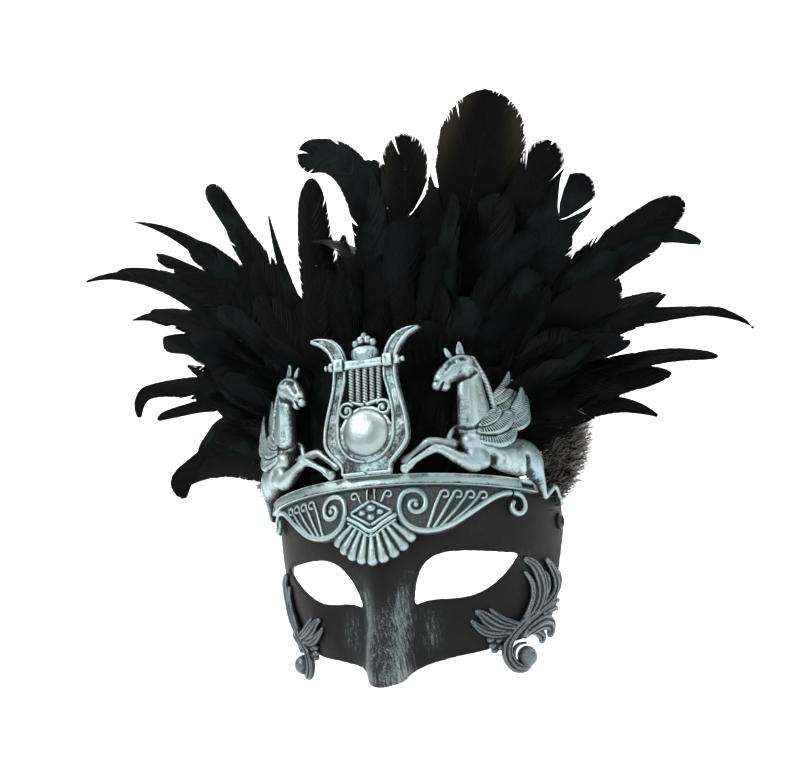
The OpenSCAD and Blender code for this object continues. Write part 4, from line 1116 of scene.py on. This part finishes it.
far_feathers = [
    [(60, 34.8, 9, 1.5, 1.2), (65.4, 37.6, 9.6, 2.6, 1.4),
     (69.6, 41.6, 9.4, 2.3, 1.3), (71.4, 47.2, 9, 0.5, 0.8)],
    [(58.8, 38, 9, 1.3, 1.2), (63.8, 41.8, 9.6, 2.4, 1.4),
     (68, 46.6, 9.4, 2.2, 1.3), (69.8, 53, 9, 0.5, 0.8)],
    [(58.4, 41.2, 9, 1.1, 1.2), (62.6, 45.6, 9.6, 2.0, 1.4),
     (66.2, 50.6, 9.4, 1.9, 1.3), (68.2, 57, 9, 0.5, 0.8)],
]


def cupped(s, a, b):
    """An ear hollowed in front."""
    return np.where(b > 0, b - 1.0 * (1 - a * a) * smooth(0.12, 0.35, s) * (1 - smooth(0.75, 0.95, s)), b)


feather_turn = np.linspace(0, 2 * math.pi, 32, endpoint=False)
feather_ring = np.stack([np.cos(feather_turn), np.sin(feather_turn)], 1)


def feather(rows):
    """A wing feather with a plain rim along its outer edge and combed barbs inside."""
    path = np.array(rows)[:, :2]
    barbs = np.linalg.norm(np.diff(path, axis=0), axis=1).sum() / 1.15

    def combed(s, a, b):
        """Sinks the barbs' ridges below the rim."""
        comb = smooth(0.45, 0.2, a) * smooth(0.04, 0.12, s) * (1 - smooth(0.86, 0.97, s))
        ridge = 0.5 + 0.5 * np.cos(2 * math.pi * (s * barbs - 0.35 * a))
        return np.where(b > 0, b * (0.95 - comb * (0.42 - 0.34 * ridge)), b)

    return skin(flat_pt, rows, feather_ring, 0.16, carve=combed)


horse_parts = [neck, skull, upper_lip, lower_lip, barrel, thigh, hock, hoof, elbow,
               near_foreleg, far_foreleg, far_shoulder, small_ear]
under_mane = np.full(len(mane_line), 1.3)
for side, hand in ((1, "left"), (-1, "right")):
    parts = [skin(flat_pt, rows, round_ring, 0.6) for rows in horse_parts]
    parts.append(skin(flat_pt, tall_ear, round_ring, 0.3, carve=cupped))
    horse = modelled("horse_" + hand + "_cast", parts, 0.45, 6, tooling)
    bend_on(horse, side)
    settle(horse, ["horse_" + hand], "silver_paint", rubbed_silver,
           rounds=14, scale=0.7, sharp=180, lift=0.06)

    parts = [skin(flat_pt, np.column_stack([mane_line - (0.5, 0.3, 0.6), under_mane, under_mane]),
                  round_ring, 0.4)]
    for k, (u, v, w) in enumerate(mane_line):
        size = 1.15 + 0.35 * math.sin(math.pi * min(k / 14, 1))
        parts.append(skin(flat_pt, [
            (u - 1.5 * size, v + 1.3 * size, w + 0.3, 0.4, 0.5), (u, v, w + 1.1, 0.85 * size, 1.1),
            (u + 1.3 * size, v - 1.3 * size, w + 0.2, 0.4, 0.5)], round_ring, 0.25))
    mane = modelled("mane_" + hand + "_cast", parts, 0.26, 1)
    bend_on(mane, side)
    settle(mane, ["mane_" + hand], "silver_paint", rubbed_silver, rounds=6, scale=0.2, sharp=180)

    for feathers, which in ((near_feathers, "near"), (far_feathers, "far")):
        name = "wing_" + which + "_" + hand
        wing = modelled(name + "_cast", [feather(rows) for rows in feathers], 0.24, 1)
        bend_on(wing, side)
        settle(wing, [name], "silver_paint", rubbed_silver, rounds=7, scale=0.16, sharp=180)

# ---- Cheek ornaments
# An acanthus spray is glued beside each eye: a long S-stem that winds into a
# scroll round a ball below, with grooved leaves to both sides; cast like the
# crown but left darker, with only a little silver on its ridges.


def shell_out(t, z):
    """Outward direction of the shell."""
    z = np.maximum(z, -22)
    n = np.cross(shell_pt(t + 1, z) - shell_pt(t - 1, z), shell_pt(t, z + 1) - shell_pt(t, z - 1))
    return unit(n)


cheek_low = -25


def cheek_pt(place):
    """Point over the shell; below its edge the surface goes straight down."""
    place = np.asarray(place, float)
    t, z, w = place[..., 0], place[..., 1], place[..., 2]
    drop = np.zeros(z.shape + (3,))
    drop[..., 2] = np.minimum(z - cheek_low, 0)
    return shell_pt(t, np.maximum(z, cheek_low)) + drop + shell_out(t, z) * w[..., None]


def grooved(s, a, b):
    """A leaf with a sunk furrow each side of its rib."""
    return np.where(b > 0, b * (1 - 0.55 * bell(np.abs(a), 0.42, 0.2) * smooth(0.03, 0.2, s)), b)


# each row: angle round the head, height, distance out, half width, half thickness
stem = [(53.4, -37.4, 2.2, 1.5, 1.6), (49.6, -39.2, 2.6, 2.5, 2), (45.6, -37, 2.8, 3, 2.3),
        (43.2, -31.6, 2.8, 3.1, 2.5), (43.4, -26.2, 3, 2.9, 2.5), (45.6, -21.6, 3.2, 2.5, 2.4),
        (48.6, -18.4, 3.2, 2.3, 2.4), (52.6, -15.4, 3, 2.2, 2.3), (57.8, -12.6, 3, 2.2, 2.2),
        (63.4, -9.8, 2.8, 2.3, 2.2), (67.4, -5.2, 2.6, 2.5, 2.2), (68.4, 1, 2.4, 2.5, 2.1),
        (67.2, 7, 1.9, 2, 1.8), (65.4, 11.8, 1.2, 0.9, 1.2)]
inner_scroll = [(52.6, -27.8, 1.6, 0.7, 1), (48.4, -27.4, 2, 0.9, 1.3), (46, -30, 2.2, 1.0, 1.4),
                (46, -34, 2.2, 1.0, 1.4), (48.6, -37, 2.2, 1.0, 1.4), (52, -36.6, 2.2, 0.9, 1.3),
                (54.8, -33.6, 2, 0.7, 1.1)]
leaves = [
    [(49.6, -17.2, 2.8, 1.4, 1.9), (55.6, -13, 2.8, 1.9, 2), (58.8, -7.2, 2.6, 2.5, 2),
     (60.2, 0, 2.2, 2.6, 1.9), (59.6, 7, 1.8, 2.3, 1.7), (57.4, 11.8, 1.5, 1.7, 1.5),
     (54.2, 14.6, 1.2, 1.0, 1.2)],
    [(50.4, -16, 2.4, 1.0, 1.6), (53.8, -10, 2.2, 1.1, 1.5), (55.6, -4, 1.9, 1.2, 1.4),
     (55.6, 2.4, 1.6, 1.1, 1.3), (53.4, 8.4, 1.2, 0.7, 1)],
    [(54.4, -13.6, 2.4, 1.0, 1.6), (59.4, -9.4, 2.4, 1.2, 1.6), (62.9, -3.2, 2.2, 1.3, 1.5),
     (64, 1.6, 1.9, 1.2, 1.4), (63.2, 5.8, 1.4, 0.7, 1)],
    [(66, -9.6, 1.8, 1.2, 1.4), (70.2, -5, 1.8, 1.5, 1.4),
     (72, 0, 1.6, 1.4, 1.3), (71.6, 5, 1.2, 0.6, 0.9)],
    [(49, -17.6, 2.6, 1.0, 1.6), (43.2, -14, 2.2, 1.1, 1.5),
     (39.8, -11, 1.8, 1.1, 1.3), (36.6, -6.8, 1.2, 0.5, 0.9)],
    [(47, -18.6, 2.6, 1.2, 1.8), (40.8, -16, 2.4, 2.1, 1.9), (36.6, -12.6, 2, 2.5, 1.7),
     (33.6, -9, 1.5, 1.6, 1.3), (31.2, -7.2, 1, 0.8, 0.9)],
    [(45, -20, 2.4, 1.2, 1.8), (39.2, -18.8, 2.2, 1.8, 1.8), (35, -16.8, 1.8, 1.7, 1.6),
     (31.6, -13.4, 1.4, 1.1, 1.2), (29.8, -10.8, 1, 0.5, 0.8)],
    [(47, -21.4, 1.6, 1.8, 1.4), (41, -19.6, 1.4, 2.8, 1.2), (36, -16.4, 1.2, 3.0, 1)],
    [(49.4, -23.6, 2.8, 1.6, 1.9), (54.8, -20.6, 3, 2.4, 2.2), (60, -19.6, 2.8, 3.0, 2.2),
     (64.6, -21.8, 2.4, 2.9, 2), (66.4, -25.8, 1.8, 2.3, 1.7), (64.8, -29.6, 1.2, 1.4, 1.2)],
    [(53, -21.6, 2.6, 1.2, 1.7), (57.4, -23.6, 2.4, 1.8, 1.8),
     (60.4, -27.2, 2, 1.9, 1.6), (60, -31.2, 1.4, 1.3, 1.2)],
    [(59, -15.4, 2.2, 1.2, 1.6), (65, -14.8, 1.8, 1.7, 1.5),
     (69, -15.6, 1.4, 1.2, 1.2), (71.4, -17.6, 1, 0.6, 0.8)],
    [(64, -12.4, 2, 1.0, 1.4), (68.4, -11.6, 1.6, 1.3, 1.3), (71.8, -12.6, 1.2, 0.6, 0.9)],
]
buds = [(37.4, -21.6, 1.9), (38.2, -24.8, 2.1), (40.4, -22.8, 2.0),
        (38.8, -27.6, 1.8), (42.2, -21.4, 1.8), (41, -26.4, 1.9)]
pewter = silver_finish("rubbed_pewter", (0.125, 0.15, 0.16, 1), (0.004, 0.005, 0.0055, 1),
                       0.34, 0.84, 0.27, 0.85)
# the leaves are cast this much broader and thicker than their rows say
leaf_broad, leaf_thick = 1.35, 1.15
ball_r = 5.2
ball_at = shell_pt(51, cheek_low) + 3.4 * shell_out(51, -22) + (0, 0, -8.6)
for side, hand in ((1, "left"), (-1, "right")):
    parts = [skin(cheek_pt, rows, feather_ring, 0.4, carve=grooved) for rows in [stem] + [
        [(t, z, w, half * leaf_broad, thick * leaf_thick) for t, z, w, half, thick in leaf]
        for leaf in leaves]]
    parts.append(skin(cheek_pt, inner_scroll, round_ring, 0.4))
    parts += [bead(cheek_pt, (t, z, 1.2), r * 0.8, r * 0.8, r * 0.9) for t, z, r in buds]
    points, faces, _ = gather(parts)
    spray = mesh_piece("cheek_leaves_" + hand + "_cast", points * (side, 1, 1), faces)
    face_out(spray)
    settle(spray, ["cheek_leaves_" + hand], "gunmetal_paint", pewter,
           voxel=0.38, ease=1, rounds=8, scale=0.14, lift=0.02)
    points, faces = bead(flat_pt, (0, 0, 0), ball_r, ball_r, ball_r)
    ball = mesh_piece("cheek_ball_" + hand, (points + ball_at) * (side, 1, 1), faces)
    face_out(ball)
    settle(ball, ["cheek_pearl_" + hand], "gunmetal_paint", pewter, voxel=0.5, ease=3, lift=-0.02)

# ---- Marabou
# Tufts of bristly grey-brown down stand behind the temples, where the low
# plumes are bound off; their roots are black and their tips faded.
down, tone = new_finish("grey_down")
tip, shade = tone.mark("tip"), tone.noise(300, 2, 0.5)
faded = (tip * (0.6 + 0.7 * shade)).step(0.3, 0.95)
set_finish(
    tone, Base_Color=faded.blend((0.006, 0.006, 0.006, 1), (0.30, 0.285, 0.26, 1)),
    Roughness=0.85 - 0.1 * shade, Specular_IOR_Level=0.1,
)
bound_line = np.array([(76, 68, 36), (84, 73, 49), (89, 75, 62), (91, 76, 77), (89, 75, 92)], float)
strand_reach = [8, 13, 15, 14, 9]
strands = 4200
for side, hand in ((1, "left"), (-1, "right")):
    q = rng.random(strands) * 4
    root = np.stack([np.interp(q, range(5), bound_line[:, k]) for k in range(3)], 1)
    spread = rng.normal(0, 1, (strands, 3)) * (1.5, 3, 2)
    root += spread - np.outer(rng.random(strands) ** 1.4 * 20, (1, 0.2, 0))
    reach = np.interp(q, range(5), strand_reach) * (0.55 + 0.55 * rng.random(strands))
    aim = unit(rng.normal(0, 0.3, (strands, 3)) + (0.9, 0.25, 0.25))
    droop = unit(aim + rng.normal(0, 0.25, (strands, 3)) + (0, 0, 0.12))
    middle_at = root + aim * (reach * 0.55)[:, None]
    end = middle_at + droop * (reach * 0.5)[:, None]
    across = unit(np.cross(aim, rng.normal(0, 1, (strands, 3))))
    other = np.cross(aim, across)
    loops = []
    for centre, r in ((root, 0.22), (middle_at, 0.17), (end, 0.03)):
        for k in range(3):
            a = 2 * math.pi * k / 3
            loops.append(centre + r * (across * math.cos(a) + other * math.sin(a)))
    points = np.stack(loops, 1).reshape(-1, 3) * (side, 1, 1)
    first = np.arange(strands)[:, None] * 9
    pattern = [(i * 3 + k, i * 3 + (k + 1) % 3, i * 3 + 3 + (k + 1) % 3, i * 3 + 3 + k)
               for i in range(2) for k in range(3)]
    faces = [row for quad in pattern for row in (first + quad).tolist()]
    faces += (first + (2, 1, 0)).tolist() + (first + (6, 7, 8)).tolist()
    tips = np.tile(np.repeat([0, 0.5, 1], 3), strands)
    tuft = mesh_piece("marabou_" + hand + "_down", points, faces, {"tip": tips})
    face_out(tuft)
    tuft.data.materials.append(down)
    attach(tuft, "root")
    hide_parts("marabou_" + hand)

# ---- Felt strip
# A strip of black wool felt glued inside the shell's top edge covers the ends
# of the quills and keeps them off the forehead.
felt_t, felt_h, glue_t = 1.6, 15, 0.25
felt_at = np.linspace(-72, 72, 240)
edge = [(0, 0.1), (0.02, 0), (0.5, 0.03), (0.98, 0), (1, 0.1), (1, 0.8),
        (0.97, 1), (0.75, 1.04), (0.5, 1), (0.25, 1.04), (0.03, 1), (0, 0.8)]
loops = []
for rise, depth in edge:
    z = top_edge(felt_at) - 2 - felt_h + felt_h * rise
    wool = rng.normal(0, 0.06, len(felt_at)) if depth > 0.5 else np.zeros(len(felt_at))
    sunk = shell_t + glue_t + felt_t * depth + wool
    loops.append(shell_pt(felt_at, z, 0) - shell_out(felt_at, z) * sunk[:, None])
loops = np.stack(loops, 1)
n, m = loops.shape[:2]
faces = [[i * m + k, i * m + (k + 1) % m, (i + 1) * m + (k + 1) % m, (i + 1) * m + k]
         for i in range(n - 1) for k in range(m)]
faces += [list(range(m)), list(range(n * m - 1, (n - 1) * m - 1, -1))]
strip = mesh_piece("felt_band", loops.reshape(-1, 3), faces)
face_out(strip)
only(strip)
bpy.ops.object.shade_smooth()
wool_felt, tone = new_finish("black_wool_felt")
nap, fibre = tone.noise(1500, 5, 0.75), tone.noise(420, 4, 0.6, (1, 1, 2.5))
worn = (nap * 0.6 + fibre * 0.5).step(0.35, 0.8)
set_finish(
    tone, bump=nap + 0.6 * fibre, strength=0.8, depth=0.0005,
    Base_Color=worn.blend((0.006, 0.006, 0.007, 1), (0.024, 0.024, 0.026, 1)),
    Roughness=0.9 + 0.08 * nap, Specular_IOR_Level=0.1, Sheen_Weight=0.3, Sheen_Roughness=0.5,
)
strip.data.materials.append(wool_felt)
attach(strip, "root")
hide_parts("felt_strip")

# ---- Ribbon eyelets
# A small flanged ring of black plastic is pressed through each temple for the
# ribbon that ties the mask on.
eyelet_black, tone = new_finish("eyelet_black")
scuff, grit = tone.noise(800, 4, 0.6), tone.noise(2600, 3, 0.6)
set_finish(
    tone, bump=scuff + 0.5 * grit, strength=0.25, depth=0.0002,
    Base_Color=scuff.step(0.4, 0.75).blend((0.012, 0.012, 0.013, 1), (0.030, 0.030, 0.032, 1)),
    Roughness=0.4 + 0.25 * scuff, Specular_IOR_Level=0.45,
)
for hand in ("left", "right"):
    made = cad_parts["eyelet_" + hand]
    made.data.materials.clear()
    made.data.materials.append(eyelet_black)
